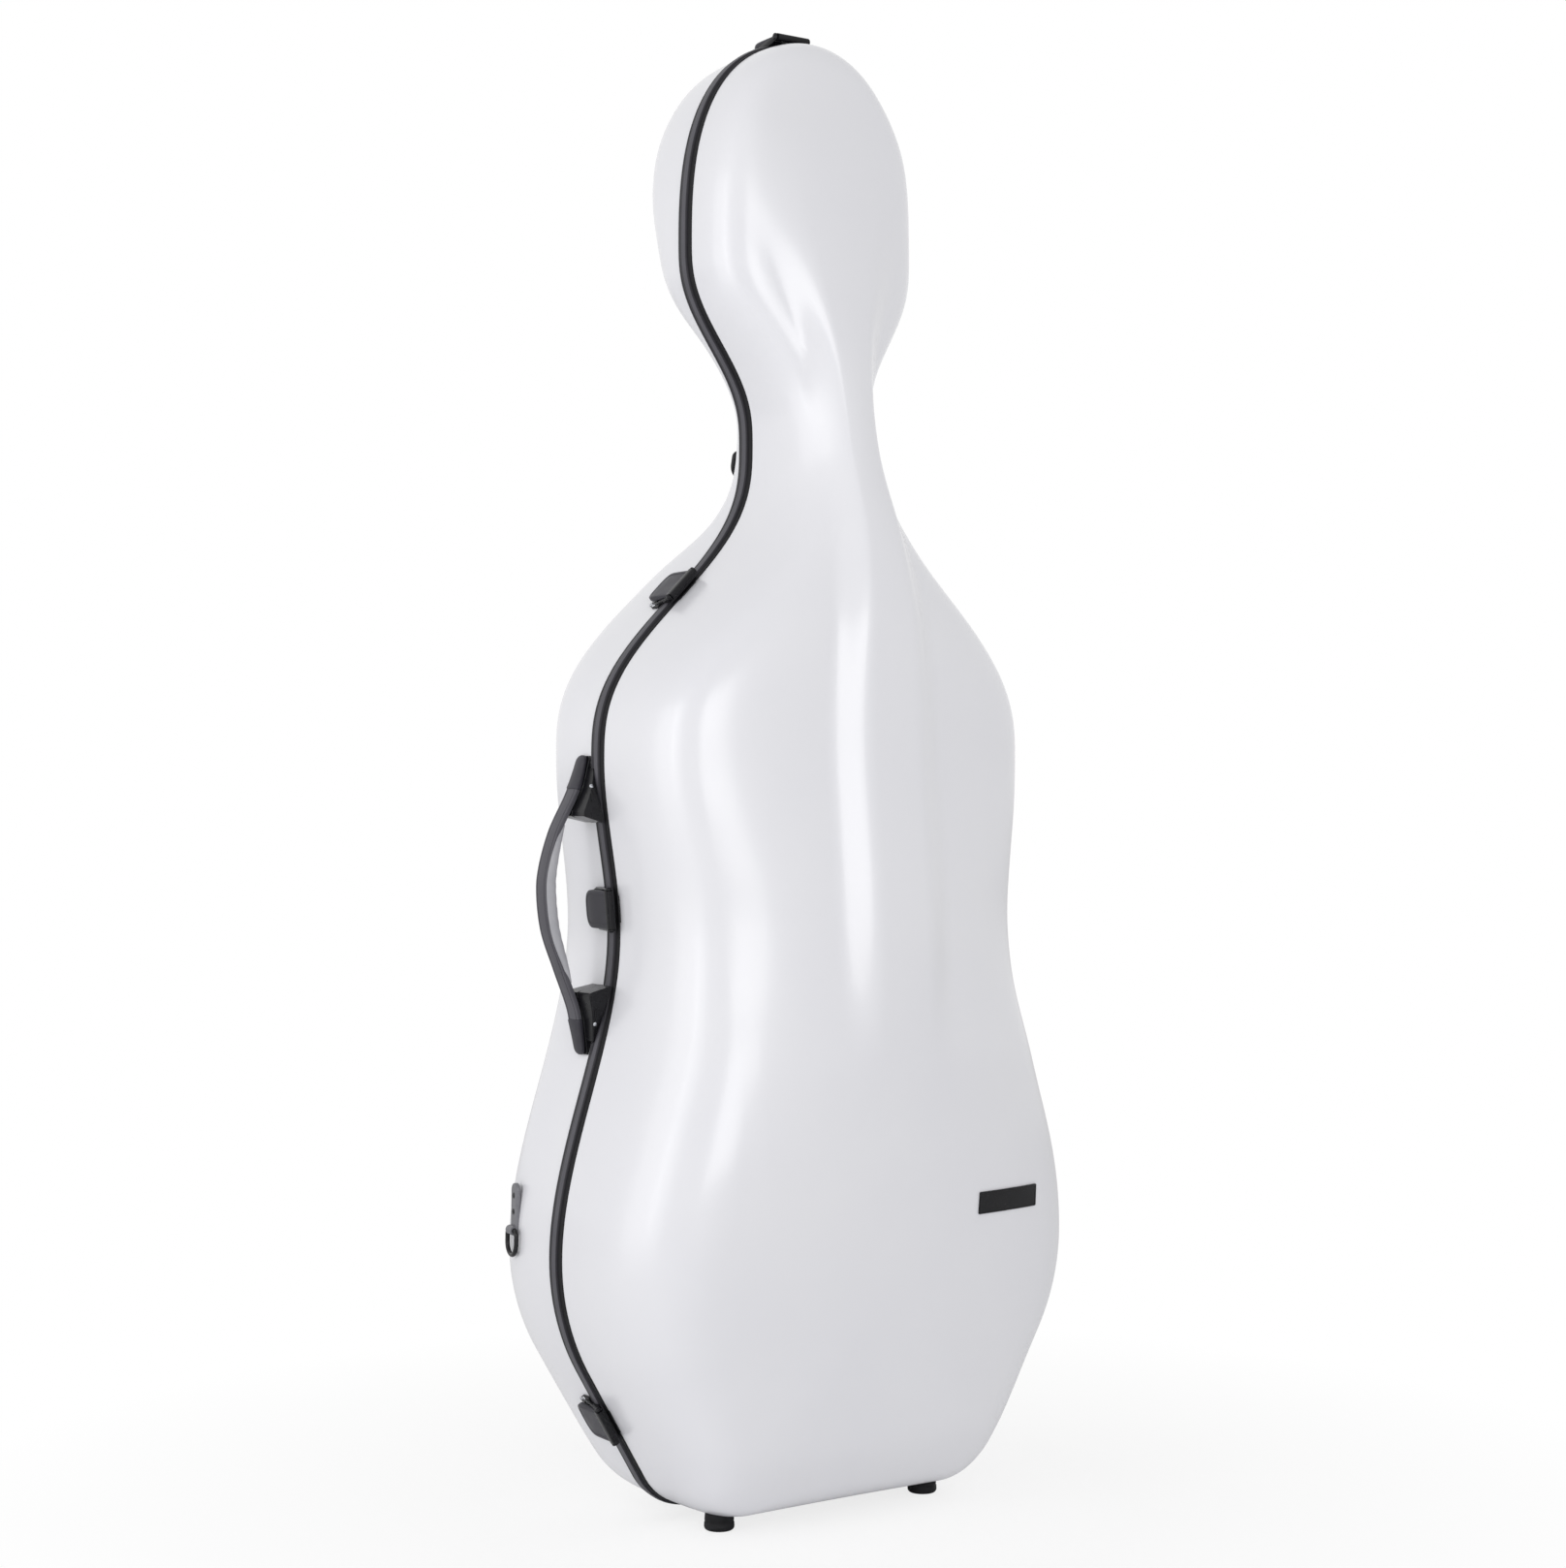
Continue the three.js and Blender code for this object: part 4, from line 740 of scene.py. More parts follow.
latch = dict(
    heights=dict(shoulder=829, middle=546, lower=96), tabs=dict(top=1, shoulder=1, middle=0, lower=-1),
    seat=40, axisOut=8.1, axisDepth=1.2,
    # the lever: its plate falls off past the curve's start, and its floor runs down to the tip's lift
    leverLength=34, leverStart=2, reach=45, leverRadii=(1.5, 13), topStart=3.55, topSlope=0.02, tipCurve=22,
    tipDrop=0.0075, floorStart=5.9, floorLevel=6.5, tipLift=3.4,
    # inset, whether it is measured from the lever's top, and the step from there
    leverLevels=[
        (1.2, (0, 0)), (0.3, (0, 0.3)), (0, (0, 1)), (0, (1, -1.5)), (0.2, (1, -0.75)), (0.7, (1, -0.25)),
        (1.5, (1, 0)), (3.4, (1, 0)), (3.75, (1, -0.45)), (5.4, (1, -0.45)),
    ],
    barrelRadius=4.7, barrelOut=3.3, barrelPower=0.65, barrelEdge=0.6,
    # the foot, its ears and what holds them
    footStart=22.3, footReach=40.5, footHalf=18.3, footRadii=(1, 9), shift=1.8, footThickness=2.4,
    footLevels=[(0.3, -1.6), (0, -1.3), (0, 1.8), (0.2, 2.2), (0.7, 2.4)],
    gap=0.3, earThickness=1.7, earRadius=3.6, earTurn=(1.05, 2.4), earBevel=0.5,
    earStart=[(-1.6, 26.3), (2.6, 5.4)], earEnd=[(2.9, 31.8), (-1.6, 31.8)], screwRadius=2.3,
    tabScrews=[(31.7, 19.2), (37.5, 17.8)],
    plainScrews=[(30.3, 9), (30.3, -9)], pinRadius=1.5, pinHead=(2.5, 1), keeperLength=24, keeperBevel=0.35,
    keeper=[(-1.2, -0.3), (1.2, -0.3), (1.2, -0.9), (0.8, -1.4), (0.3, -1.7), (-1.2, -1.7)],
)


def leverTop(y):
    step = y - latch["topStart"]
    curl = max(0, step - latch["tipCurve"])
    level = latch["axisOut"] + latch["barrelRadius"] / 2
    return level - latch["topSlope"] * step - latch["tipDrop"] * curl * curl


def leverFloor(y):
    u = (y - latch["floorStart"]) / (latch["reach"] - latch["floorStart"])
    return latch["floorLevel"] + (latch["tipLift"] - latch["floorLevel"]) * u


def addLever(node, matrix):
    bm = bmesh.new()
    half = latch["leverLength"] / 2

    def place(y, z, level):
        fromTop, step = level
        return ((leverTop(y) if fromTop else leverFloor(y)) + step, y, z)

    box = (latch["leverStart"], latch["reach"], half, *latch["leverRadii"])
    addPlate(bm, box, latch["leverLevels"], place, 8, 6)
    # the barrel's flat-topped bar
    bar = []
    for a, b in circle(1, 32):
        out = latch["barrelOut"] * squared(a, latch["barrelPower"])
        deep = latch["barrelRadius"] * squared(b, latch["barrelPower"])
        bar.append((latch["axisOut"] + out, latch["axisDepth"] + deep))
    barrel = bmesh.new()
    addPrism(barrel, bar, -half, half, 1)
    bevelEdges(barrel, latch["barrelEdge"], 2, 50)
    merge(bm, barrel)
    tidy(bm)
    addPiece(node, bm, 32, matrix, ("texturedPlastic", "glossyNylon"))


def addLatchFoot(name, matrix, tab):
    bm = bmesh.new()
    ear, thick, shift = latch["earThickness"], latch["footThickness"], tab * latch["shift"]
    end = latch["leverLength"] / 2 + latch["gap"] + ear
    box = (latch["footStart"], latch["footReach"], latch["footHalf"] + abs(shift), *latch["footRadii"])
    addPlate(bm, box, latch["footLevels"], lambda y, z, x: (x, y, z + shift), 5, 3)
    out, depth = latch["axisOut"], latch["axisDepth"]
    bend = arcPoints(out, depth, latch["earRadius"], *[pi * turn for turn in latch["earTurn"]], 14)
    for low in (-end, end - ear):
        addBlock(bm, [*latch["earStart"], *bend, *latch["earEnd"]], low, low + ear, latch["earBevel"])
    node = f"latch_foot_{name}"
    addPiece(node, bm, 32, matrix)
    # the screws show past the lever's rounded corner where the foot reaches out from under it
    spots = latch["tabScrews"] if tab else latch["plainScrews"]
    places = [matrix @ at(thick, y, z * (tab or 1)) for y, z in spots]
    addScrews(f"latch_screws_{name}", node, places, latch["screwRadius"])
    axis = matrix @ at(out, depth, 0)
    addPin(f"latch_pin_{name}", axis, latch["pinRadius"], end, latch["pinHead"], ("blackSteel",))


def addLatch(name, matrix):
    addLever(f"latch_lever_{name}", matrix)
    addLatchFoot(name, matrix, latch["tabs"][name])
    bm = bmesh.new()
    half = latch["keeperLength"] / 2
    addBlock(bm, latch["keeper"], -half, half, latch["keeperBevel"])
    addPiece(f"latch_keeper_{name}", bm, 32, matrix)


addLatch("top", seamFrame(Vector((0, seam["topHeight"])), Vector((0, 1))))
for name, height in latch["heights"].items():
    addLatch(name, seamFrameAt(height, latch["seat"]))
print("latches")


# Hinges

hinge = dict(
    heights=dict(lower=260, upper=681), axisOffset=7, knuckleRadius=4.5, knuckleLength=20, knuckleGap=0.4,
    leafStart=26, leafFloor=22.6, lidStart=9.5, lidFloor=2, leafReach=44, leafThickness=2.4, armBevel=0.6,
    knuckleEdge=0.5, leafRadii=(0.8, 4),
    levels=[(0.2, -3), (0, -2.8), (0, 1.7), (0.25, 2.2), (0.8, 2.4)],
    screwRadius=2.7, screwInset=6, screwSpacing=22, pinRadius=1.6, pinHead=(3, 1.2),
)


def addHinge(name, matrix):
    length, thick, radius, offset = [
        hinge[key] for key in ("knuckleLength", "leafThickness", "knuckleRadius", "axisOffset")
    ]
    pitch = length + hinge["knuckleGap"]
    half = length / 2 + pitch
    for leaf, side, start, floor, middles in (
        ("base", 1, hinge["leafStart"], hinge["leafFloor"], (-pitch, pitch)),
        ("lid", -1, hinge["lidStart"], hinge["lidFloor"], (0,)),
    ):
        bm = bmesh.new()
        box = (start - 3, hinge["leafReach"], half, *hinge["leafRadii"])
        addPlate(bm, box, hinge["levels"], lambda y, z, x: (x, side * y, z), 6, 3)
        arm = [
            (offset - radius, 1), (offset + radius, 1), (offset + 2.6, start - 6), (thick + 0.6, start + 3),
            (-1, start + 3), (-1, floor), (3.4, floor),
        ]
        for middle in middles:
            low, high = middle - length / 2, middle + length / 2
            addBlock(bm, [(x, side * y) for x, y in arm], low, high, hinge["armBevel"])
            knuckle = bmesh.new()
            addLathe(knuckle, rodProfile(radius, low, high, hinge["knuckleEdge"]), 36)
            merge(bm, knuckle, at(offset, 0, 0))
        node = f"hinge_{leaf}_leaf_{name}"
        addPiece(node, bm, 32, matrix)
        y = side * (hinge["leafReach"] - hinge["screwInset"])
        places = [matrix @ at(thick, y, k * hinge["screwSpacing"]) for k in (-1, 0, 1)]
        addScrews(f"hinge_{leaf}_screws_{name}", node, places, hinge["screwRadius"])
    addPin(f"hinge_pin_{name}", matrix @ at(offset, 0, 0), hinge["pinRadius"], half, hinge["pinHead"])


hingeSpots = {name: Vector((halfWidthAt(height), height)) for name, height in hinge["heights"].items()}
hingeAlong = (hingeSpots["upper"] - hingeSpots["lower"]).normalized()
for name, spot in hingeSpots.items():
    addHinge(name, seamFrame(spot, Vector((hingeAlong.y, -hingeAlong.x))))
print("hinges")


# Handle

handle = dict(
    rise=25, halfLength=132, seamOffset=32, width=18, thickness=4.5, bow=40.2, steps=90, grooveDepth=0.7,
    endLength=32, endSteps=24, endStep=0.7, endTaper=0.25, endThinning=1.8, tipLength=6, tipWidth=0.35,
    tipLift=0.3, tipDrop=1.2, stepRun=1.2, stepStart=0.3,
    gripHalfLength=74, gripThickness=8, gripEnd=0.9, gripSwellPower=0.6, gripEndShare=0.985, gripSteps=104,
    ribDepth=0.2, ribs=13, gripLean=1.5, lipThickness=1.3, lipDrop=1.45, lipRun=1.1, lipOverlap=0.02,
    bracketLength=56, bracketSteps=14, bracketFacet=2.6, bracketSink=1.6, bracketLift=3.8,
    bracketReach=-30.5, tipReach=-17, endLean=2.4, endCorner=[(-1, -1.2), (-4, 0)],
    shoulderStart=3, shoulderDrop=0.8, shoulderLow=-8.6,
    # levels across the wedge and how far its edge draws in there
    wedgeLevels=[(-9.6, 0.3), (-9.2, 0), (9.5, 0), (10.2, 0.2), (10.5, 0.45)],
    screwRadius=1.9, screwDrop=8, screwShift=0.5, rib=(-5, 5, 1, 1, 1), ribShift=(1.5, 0.5),
    ribLevels=[(0, -0.4), (0, 0.5), (0.25, 0.8), (0.6, 0.9)],
    # shape of the band: places along it and heights over its ends, shares of its half-length and bow
    bowShares=[
        (-1, 0.03), (-0.77, 0.24), (-0.48, 0.72), (-0.23, 0.963), (-0.1, 1), (0.16, 0.89), (0.42, 0.565),
        (0.69, 0.21), (0.82, 0.12), (1, 0.035),
    ],
)


# a smooth curve through (x, z) points, with its places evened out by length
def curveThrough(points, steps=40):
    knots = [Vector(p) for p in points]
    knots = [knots[0] * 2 - knots[1], *knots, knots[-1] * 2 - knots[-2]]
    line = []
    for a, b, c, d in zip(knots, knots[1:], knots[2:], knots[3:]):
        first, middle, last = [sqrt((q - p).length) for p, q in ((a, b), (b, c), (c, d))]
        leave = ((b - a) / first - (c - a) / (first + middle) + (c - b) / middle) * middle
        arrive = ((c - b) / middle - (d - b) / (middle + last) + (d - c) / last) * middle
        square, cube = 3 * (c - b) - 2 * leave - arrive, 2 * (b - c) + leave + arrive
        for u in [k / steps for k in range(steps)]:
            line.append(b + leave * u + square * u * u + cube * u ** 3)
    line.append(knots[-2])
    marks = [0]
    for a, b in zip(line, line[1:]):
        marks.append(marks[-1] + (b - a).length)

    def look(share):
        wanted = between(0, share, 1) * marks[-1]
        i = between(0, bisect.bisect_left(marks, wanted) - 1, len(line) - 2)
        u = (wanted - marks[i]) / (marks[i + 1] - marks[i])
        return line[i].lerp(line[i + 1], u), (line[i + 1] - line[i]).normalized()

    return look, marks[-1]


handleCurve, handleLength = curveThrough(
    [(handle["bow"] * bow, handle["halfLength"] * along) for along, bow in handle["bowShares"]]
)


def handleFrame():
    middle = seam["waistHeight"] + handle["rise"]
    top, bottom = [
        Vector((-halfWidthAt(height), handle["seamOffset"], height))
        for height in (middle + handle["halfLength"], middle - handle["halfLength"])
    ]
    y = Vector((0, 1, 0))
    return frameOf(y.cross((bottom - top).normalized()), y, (top + bottom) / 2)


handleMatrix = handleFrame()


# sweeps sections of (step out, across) along the band between two shares of its length
def addBand(name, start, end, steps, section, sharpDegrees=30, looks=()):
    rings = []
    for u in [i / steps for i in range(steps + 1)]:
        share = start + (end - start) * u
        point, along = handleCurve(share)
        ring = section(share, u)
        rings.append([(point.x + along.y * step, across, point.y - along.x * step) for step, across in ring])
    bm = bmesh.new()
    addSkin(bm, rings)
    tidy(bm)
    addPiece(name, bm, sharpDegrees, handleMatrix, looks)


def gripSwell(share):
    turn = between(-1, (share - 0.5) * handleLength / handle["gripHalfLength"], 1) * pi / 2
    return cos(turn) ** handle["gripSwellPower"]


# half the width inside the grip's soft lips, which lie along the band's sides
def lipAt(share):
    return handle["width"] / 2 - handle["lipThickness"] * smoothStep(min(1, gripSwell(share) * 2))


# the band: soft corners, with a dark groove along each edge of its grey outer face
def bandSection(share, u):
    half, thick, lip = handle["width"] / 2, handle["thickness"], lipAt(share)
    floor = thick - handle["grooveDepth"]
    side = [
        (0, lip - 1.2), (0.35, lip - 0.35), (0.8, lip), (thick - 1.3, lip), (thick - 1, lip),
        (thick - 0.9, half - 0.35), (thick - 0.3, half - 0.6), (thick, half - 1.4), (thick, half - 2.1),
        (floor, half - 2.5), (floor, half - 3.3), (thick, half - 3.7), (thick + 0.2, half / 3),
        (thick + 0.25, 0),
    ]
    return side + flipped(side[:-1])


# an end cap: a little thicker than the band, its free end rounded off
def endSection(free):
    def section(share, u):
        near = u if free else 1 - u
        tip = sqrt(max(0.02, 1 - max(0, 1 - handle["endLength"] * (1 - near) / handle["tipLength"]) ** 2))
        run = handle["endLength"] * near / handle["stepRun"]
        rise = handle["endStep"] * min(1, run + handle["stepStart"])
        narrow = handle["tipWidth"] + (1 - handle["tipWidth"]) * tip
        half = (handle["width"] + rise) / 2 * narrow * (1 - handle["endTaper"] * near)
        low, drop = handle["tipLift"] * (1 - tip), handle["tipDrop"] * (1 - tip)
        high = handle["thickness"] + rise - drop - handle["endThinning"] * near
        side = [
            (low, half - 1), (low + 0.3, half - 0.3), (low + 1, half), (high - 1.4, half),
            (high - 0.4, half - 0.5), (high, half - 1.5), (high + 0.2, 0),
        ]
        return side + flipped(side[:-1])

    return section


# the grip: a lens of soft rubber under the middle of the band, with lips that lap its sides
def gripSection(share, u):
    swell, half = gripSwell(share), handle["width"] / 2
    deep = handle["gripThickness"] * swell + handle["gripEnd"]
    top = (handle["thickness"] - handle["lipDrop"]) * smoothStep(min(1, swell * handle["lipRun"]))
    rib = handle["ribDepth"] * cos(u * tau * handle["ribs"]) * swell
    lean = handle["gripLean"] * (1 - swell)
    lip, wide = lipAt(share) - handle["lipOverlap"] - lean, half - lean
    side = [(-0.3, 0), (-0.3, lip), (top, lip), (top + 0.25, wide - 0.5), (top - 0.4, wide - 0.05)]
    for k in range(1, 9):
        rise = sin(pi / 2 * k / 8)
        across = wide * sqrt(cos(pi / 2 * k / 8)) if k < 8 else 0
        side.append((-0.3 - (deep - 0.3 + rib * rise) * rise, across))
    return side + flipped(side[1:-1])


def middleOf(points):
    return sum([Vector(p) for p in points], Vector((0, 0))) / len(points)


def addBracket(name, start, inward):
    node = f"handle_bracket_{name}"
    length, facet, steps = handle["bracketLength"], handle["bracketFacet"], handle["bracketSteps"]
    upper = []
    for i in range(steps + 1):
        point, along = handleCurve(start + inward * length * i / steps / handleLength)
        upper.append((point.x - along.y * shell["gap"], point.y + along.x * shell["gap"]))
    inverse = handleMatrix.inverted()

    def wallAt(z, step):
        height = (handleMatrix @ Vector((0, 0, z))).z
        wall = inverse @ Vector((-halfWidthAt(height), handle["seamOffset"], height))
        return (wall.x + step, wall.z)

    def wedge(top, step):
        tip, (x, z) = top[0][1], top[-1]
        outer, inner = [z + inward * (handle["thickness"] + side * handle["endLean"]) for side in (-1, 1)]
        low = [wallAt(inner + (tip - inner) * k / 8, step) for k in range(9)]
        return [*top[:-1], *[(x + a, outer + inward * b) for a, b in handle["endCorner"]], *low]

    shape = wedge(upper, -handle["bracketSink"])
    middle = middleOf(shape)
    rings = []
    for y, pull in handle["wedgeLevels"]:
        moves = [(middle - Vector(p)).normalized() * facet * pull for p in shape]
        rings.append([(x + min(0, move.x), y, z + move.y) for (x, z), move in zip(shape, moves)])
    bm, shoulder = bmesh.new(), bmesh.new()
    addSkin(bm, rings)
    # the facetted shoulder that reaches over the seam's band
    shoulderTop = [(x - handle["shoulderDrop"], z) for x, z in upper[handle["shoulderStart"]:]]
    part = wedge(shoulderTop, handle["bracketLift"])
    slope = (handle["bracketReach"] - handle["tipReach"]) / length

    def faceOf(z):
        return handle["tipReach"] + slope * between(0, (z - upper[0][1]) * inward, length)

    low = handle["shoulderLow"]
    addSkin(shoulder, [[(x, faceOf(z), z) for x, z in part], [(x, low, z) for x, z in part]])
    tidy(shoulder)
    bevelEdges(shoulder, facet / 2, 1, 40)
    merge(bm, shoulder)
    addPiece(node, bm, 18, handleMatrix)
    # a sunk screw near the tip and a moulded rib beside it, on the side that faces the lid
    x, z = middleOf(part)
    facing = Vector((0, -1, slope * inward)).normalized()
    spot = z - inward * handle["screwDrop"]
    face = frameOf(facing, Vector((1, 0, 0)), (x + handle["screwShift"], faceOf(spot), spot))
    addScrews(f"{node}_screw", node, [handleMatrix @ face], handle["screwRadius"])
    rib = bmesh.new()
    across, along = handle["ribShift"]
    x, z = x + across, z + inward * along
    addPlate(rib, handle["rib"], handle["ribLevels"], lambda a, b, y: (x + b, faceOf(z + a) - y, z + a))
    tidy(rib)
    addPiece(f"{node}_rib", rib, 30, handleMatrix, owner=node)


cap = handle["endLength"] / handleLength
bandStart = cap + shell["gap"] / handleLength
addBand("handle_band", bandStart, 1 - bandStart, handle["steps"], bandSection)
addBand("handle_end_upper", 0, cap, handle["endSteps"], endSection(False))
addBand("handle_end_lower", 1 - cap, 1, handle["endSteps"], endSection(True))
gripStart = 0.5 - handle["gripHalfLength"] / handleLength * handle["gripEndShare"]
addBand("handle_grip", gripStart, 1 - gripStart, handle["gripSteps"], gripSection, 60, ("gripRubber",))
addBracket("upper", 0, 1)
addBracket("lower", 1, -1)
print("handle")


# Feet: turned rubber with a rolled edge, a groove round the side and a sunk screw under the tread

foot = dict(
    front=(113, -49), rear=(70, 55), screwRadius=3.1, screwLevel=2.2, steps=56,
    profile=[
        (0, 2.2), (3.2, 2.2), (3.6, 1.8), (4.2, 0.3), (4.8, 0), (10.5, 0), (11.7, 0.15), (12.6, 0.8),
        (13.25, 1.7), (13.5, 2.9), (13.35, 6.3), (12.95, 6.7), (12.8, 7.5), (12.9, 8.1), (13.1, 8.5),
        (12.6, 15.5), (0, 15.5),
    ],
)


def addFoot(node, x, y):
    bm = bmesh.new()
    addLathe(bm, foot["profile"], foot["steps"])
    tidy(bm)
    addPiece(node, bm, 50, at(x, y, 0))
    face = frameOf(Vector((0, 0, -1)), Vector((1, 0, 0)), (x, y, foot["screwLevel"]))
    addScrews(f"{node}_screw", node, [face], foot["screwRadius"])


for side, sign in (("left", -1), ("right", 1)):
    for end in ("front", "rear"):
        x, y = foot[end]
        addFoot(f"foot_{end}_{side}", sign * x, y)
print("feet")


# Strap anchors

anchor = dict(
    lowerRise=18, lowerOffset=88, upperRise=-2, upperOffset=40, stretch=27, axisOut=3.5, axisDrop=1.9,
    # pressed plate: rounded top, rolled edge and a flat land for each screw
    plate=(-4, 40, 6.5, 1.5, 6.5),
    plateLevels=[(0.2, -1.4), (0, -1.2), (0, 1.6), (0.3, 2.25), (1, 2.6), (1.5, 2.6)], screwLevel=2.3,
    screwHeights=(29, 14.5), screwRadius=2.9,
    bail=[(2.4, -6), (3.8, -6), (4.2, -5.6), (4.2, 5.6), (3.8, 6), (2.4, 6)], wireRadius=2.1, ringWidth=18,
    ringDrop=22,
)


def addAnchor(name, matrix):
    plate = f"strap_plate_{name}"
    bm, wire = bmesh.new(), bmesh.new()
    addPlate(bm, anchor["plate"], anchor["plateLevels"], lambda z, y, x: (x, y, z), 10, 4)
    out, low, radius = anchor["axisOut"], -anchor["axisDrop"], anchor["wireRadius"]
    rings = [[(out + r * a, y, low + r * b) for r, y in anchor["bail"]] for a, b in circle(1, 40)]
    addGrid(bm, rings, loop=True)
    addPiece(plate, bm, 35, matrix)
    places = [matrix @ at(anchor["screwLevel"], 0, z) for z in anchor["screwHeights"]]
    addScrews(f"{plate}_screws", plate, places, anchor["screwRadius"], 0.3, "blackWire")
    across, corner = anchor["ringWidth"] / 2 + radius, radius * 2
    path = [
        *arcPoints(corner - across, -corner, corner, pi, pi / 2, 8),
        *arcPoints(across - corner, -corner, corner, pi / 2, 0, 8),
        *arcPoints(0, across - anchor["ringDrop"], across, 0, -pi, 26),
    ]
    rings = []
    for k, p in enumerate(path):
        along = (Vector(path[(k + 1) % len(path)]) - Vector(path[k - 1])).normalized()
        rings.append([(a, p[0] - along.y * b, p[1] + along.x * b) for a, b in circle(radius, 16)])
    addGrid(wire, rings, loop=True)
    tidy(wire)
    addPiece(f"strap_ring_{name}", wire, 60, matrix @ at(out, 0, low))


for level, start in (("lower", "lowerBoutHeight"), ("upper", "neckHeight")):
    height = seam[start] + anchor[f"{level}Rise"]
    inset = insetAtDepth(baseForm, height, anchor[f"{level}Offset"])
    for side, sign in (("left", -1), ("right", 1)):
        addAnchor(f"{level}_{side}", wallFrame(baseForm, height, inset, sign, anchor["stretch"]))
print("anchors")


# Bare plate on the lid: a raised frame round an empty field

badge = dict(
    box=(86, 162, 10, 1.2, 1.2), rise=43,
    levels=[(0.2, -0.8), (0, 0), (0, 1.1), (0.15, 1.45), (0.5, 1.6), (1.3, 1.6), (1.55, 1.2), (2.5, 1.2)],
)


def addBadge():
    def place(x, z, level):
        height = seam["lowerBoutHeight"] + badge["rise"] + z
        reach = halfWidthAt(height)
        return (x, -faceDepth(lidForm, x, height, reach - abs(x), reach, 0) - level, height)

    bm = bmesh.new()
    addPlate(bm, badge["box"], badge["levels"], place, 6, 36)
    tidy(bm)
    addPiece("lid_plate", bm, 35)


addBadge()
print("badge")


# Linings: velvet over foam, with a piped hem round the mouth and one sewn channel following it

liner = dict(
    thickness=8, hemRadius=1.5, hemShift=1.6, hemStretch=1.6, hemSink=0.5, channelDepth=1.6, channelRing=5,
    corners=18, fronts=26,
)
behindShell = -(shell["wall"] + shell["gap"])
linedFace = behindShell - liner["thickness"]


def addLiner(name, form):
    edge, corners, fronts = form["liningEdge"], liner["corners"], liner["fronts"]
    lined = faceRings(form, linedFace, edge, corners, fronts)
    # one ring of the lined face is drawn back towards the shell by its stitching
    for step, share in ((-1, 0.25), (0, 1), (1, 0.25)):
        k = corners + liner["channelRing"] + step
        deep = form["side"] * liner["channelDepth"] * share
        lined[k] = [(x, y + deep, z) for x, y, z in lined[k]]
    bm = bmesh.new()
    addFaces(bm, faceRings(form, behindShell, edge, corners, fronts), lined)
    addPiece(f"{name}_liner", bm, 60)
    radius, stretch = liner["hemRadius"], liner["hemStretch"]
    place, level = (behindShell + linedFace) / 2 - liner["hemShift"], edge + radius * liner["hemSink"]
    hem = [(place + stretch * a, form["side"] * (level - b)) for a, b in circle(radius, 10)]
    sweepSeam(f"{name}_liner_hem", hem, 80, ("brushedKnit",), f"{name}_liner")


addLiner("lid", lidForm)
addLiner("base", baseForm)
print("linings")


# Space inside a half: how deep it is at a place, and points pressed into it

class Cavity:
    def __init__(self, form, grow):
        self.form, self.grow = form, grow
        middle = seam["lowerBoutHeight"]
        low = [edge + out * grow for edge, out in stations if edge.x >= 0 and edge.y <= middle]
        marks = sorted((atan2(p.x, middle - p.y), hypot(p.x, middle - p.y)) for p in low)
        self.angles, self.reaches = zip(*marks)

    def depth(self, x, z):
        middle = seam["lowerBoutHeight"]
        if z < middle:
            angle = atan2(abs(x), middle - z)
            i = between(1, bisect.bisect_left(self.angles, angle), len(self.angles) - 1)
            u = (angle - self.angles[i - 1]) / max(1e-9, self.angles[i] - self.angles[i - 1])
            reach = self.reaches[i - 1] + (self.reaches[i] - self.reaches[i - 1]) * between(0, u, 1)
            inset = reach - hypot(x, middle - z)
        else:
            reach = halfWidthAt(min(z, shell["spineTopHeight"])) + self.grow
            inset = reach - abs(x)
        return faceDepth(self.form, x, z, inset, reach, self.grow) if inset > 0 else 0

    # a point moved no further than it must be, towards the case's centre line
    def press(self, x, y, z):
        hub = between(seam["lowerBoutHeight"], z, shell["spineTopHeight"])
        most = self.depth(0, max(z, seam["bottomHeight"] - self.grow + 8))
        deep = min(abs(y), most - 0.5)
        near, far = 0, 1
        if self.depth(x, z) >= deep:
            return Vector((x, copysign(deep, y), z))
        for _ in range(16):
            u = (near + far) / 2
            if self.depth(x * (1 - u), z + (hub - z) * u) < deep:
                near = u
            else:
                far = u
        return Vector((x * (1 - far), copysign(deep, y), z + (hub - z) * far))


baseCavity = Cavity(baseForm, linedFace - shell["gap"])
lidCavity = Cavity(lidForm, linedFace - shell["gap"])


# Cushions: foam in knit sleeves, swollen by a cloth simulation, then stitched across and piped along the edge

pad = dict(
    start=24, depth=84, squareness=3.2, endShare=0.985, rows=18, around=48, rise=13, sideLength=170,
    sideThickness=46, endSpacing=190, endLength=104, endThickness=54, endStitch=0.3, padWidth=74,
    padThickness=34, voxel=5, pressure=4, frames=20, shrink=5, cap=7, fill=0.75, pipingRadius=1.3,
    pipingDepth=0.66, pipingSteps=96, pipingSink=0.2, rayReach=300, rayShift=(0.13, 0.37), stitchDepth=2.6,
    stitchWidth=6,
)


# a stuffed block in metres, fullest in its middle, with x and y across it and z along it
def blockMesh(width, depth, length):
    power, rings = pad["squareness"], []
    for i in range(pad["rows"] + 1):
        along = cos(i / pad["rows"] * pi)
        full = (1 - abs(along * pad["endShare"]) ** power) ** (1 / power)
        ring = [[squared(v, 2 / power) * full for v in pair] for pair in circle(1, pad["around"])]
        rings.append([Vector((x * width, y * depth, along * length)) / 2 * unit for x, y in ring])
    bm = bmesh.new()
    addSkin(bm, rings)
    bmesh.ops.recalc_face_normals(bm, faces=bm.faces)
    mesh = bpy.data.meshes.new("block")
    bm.to_mesh(mesh)
    bm.free()
    return mesh


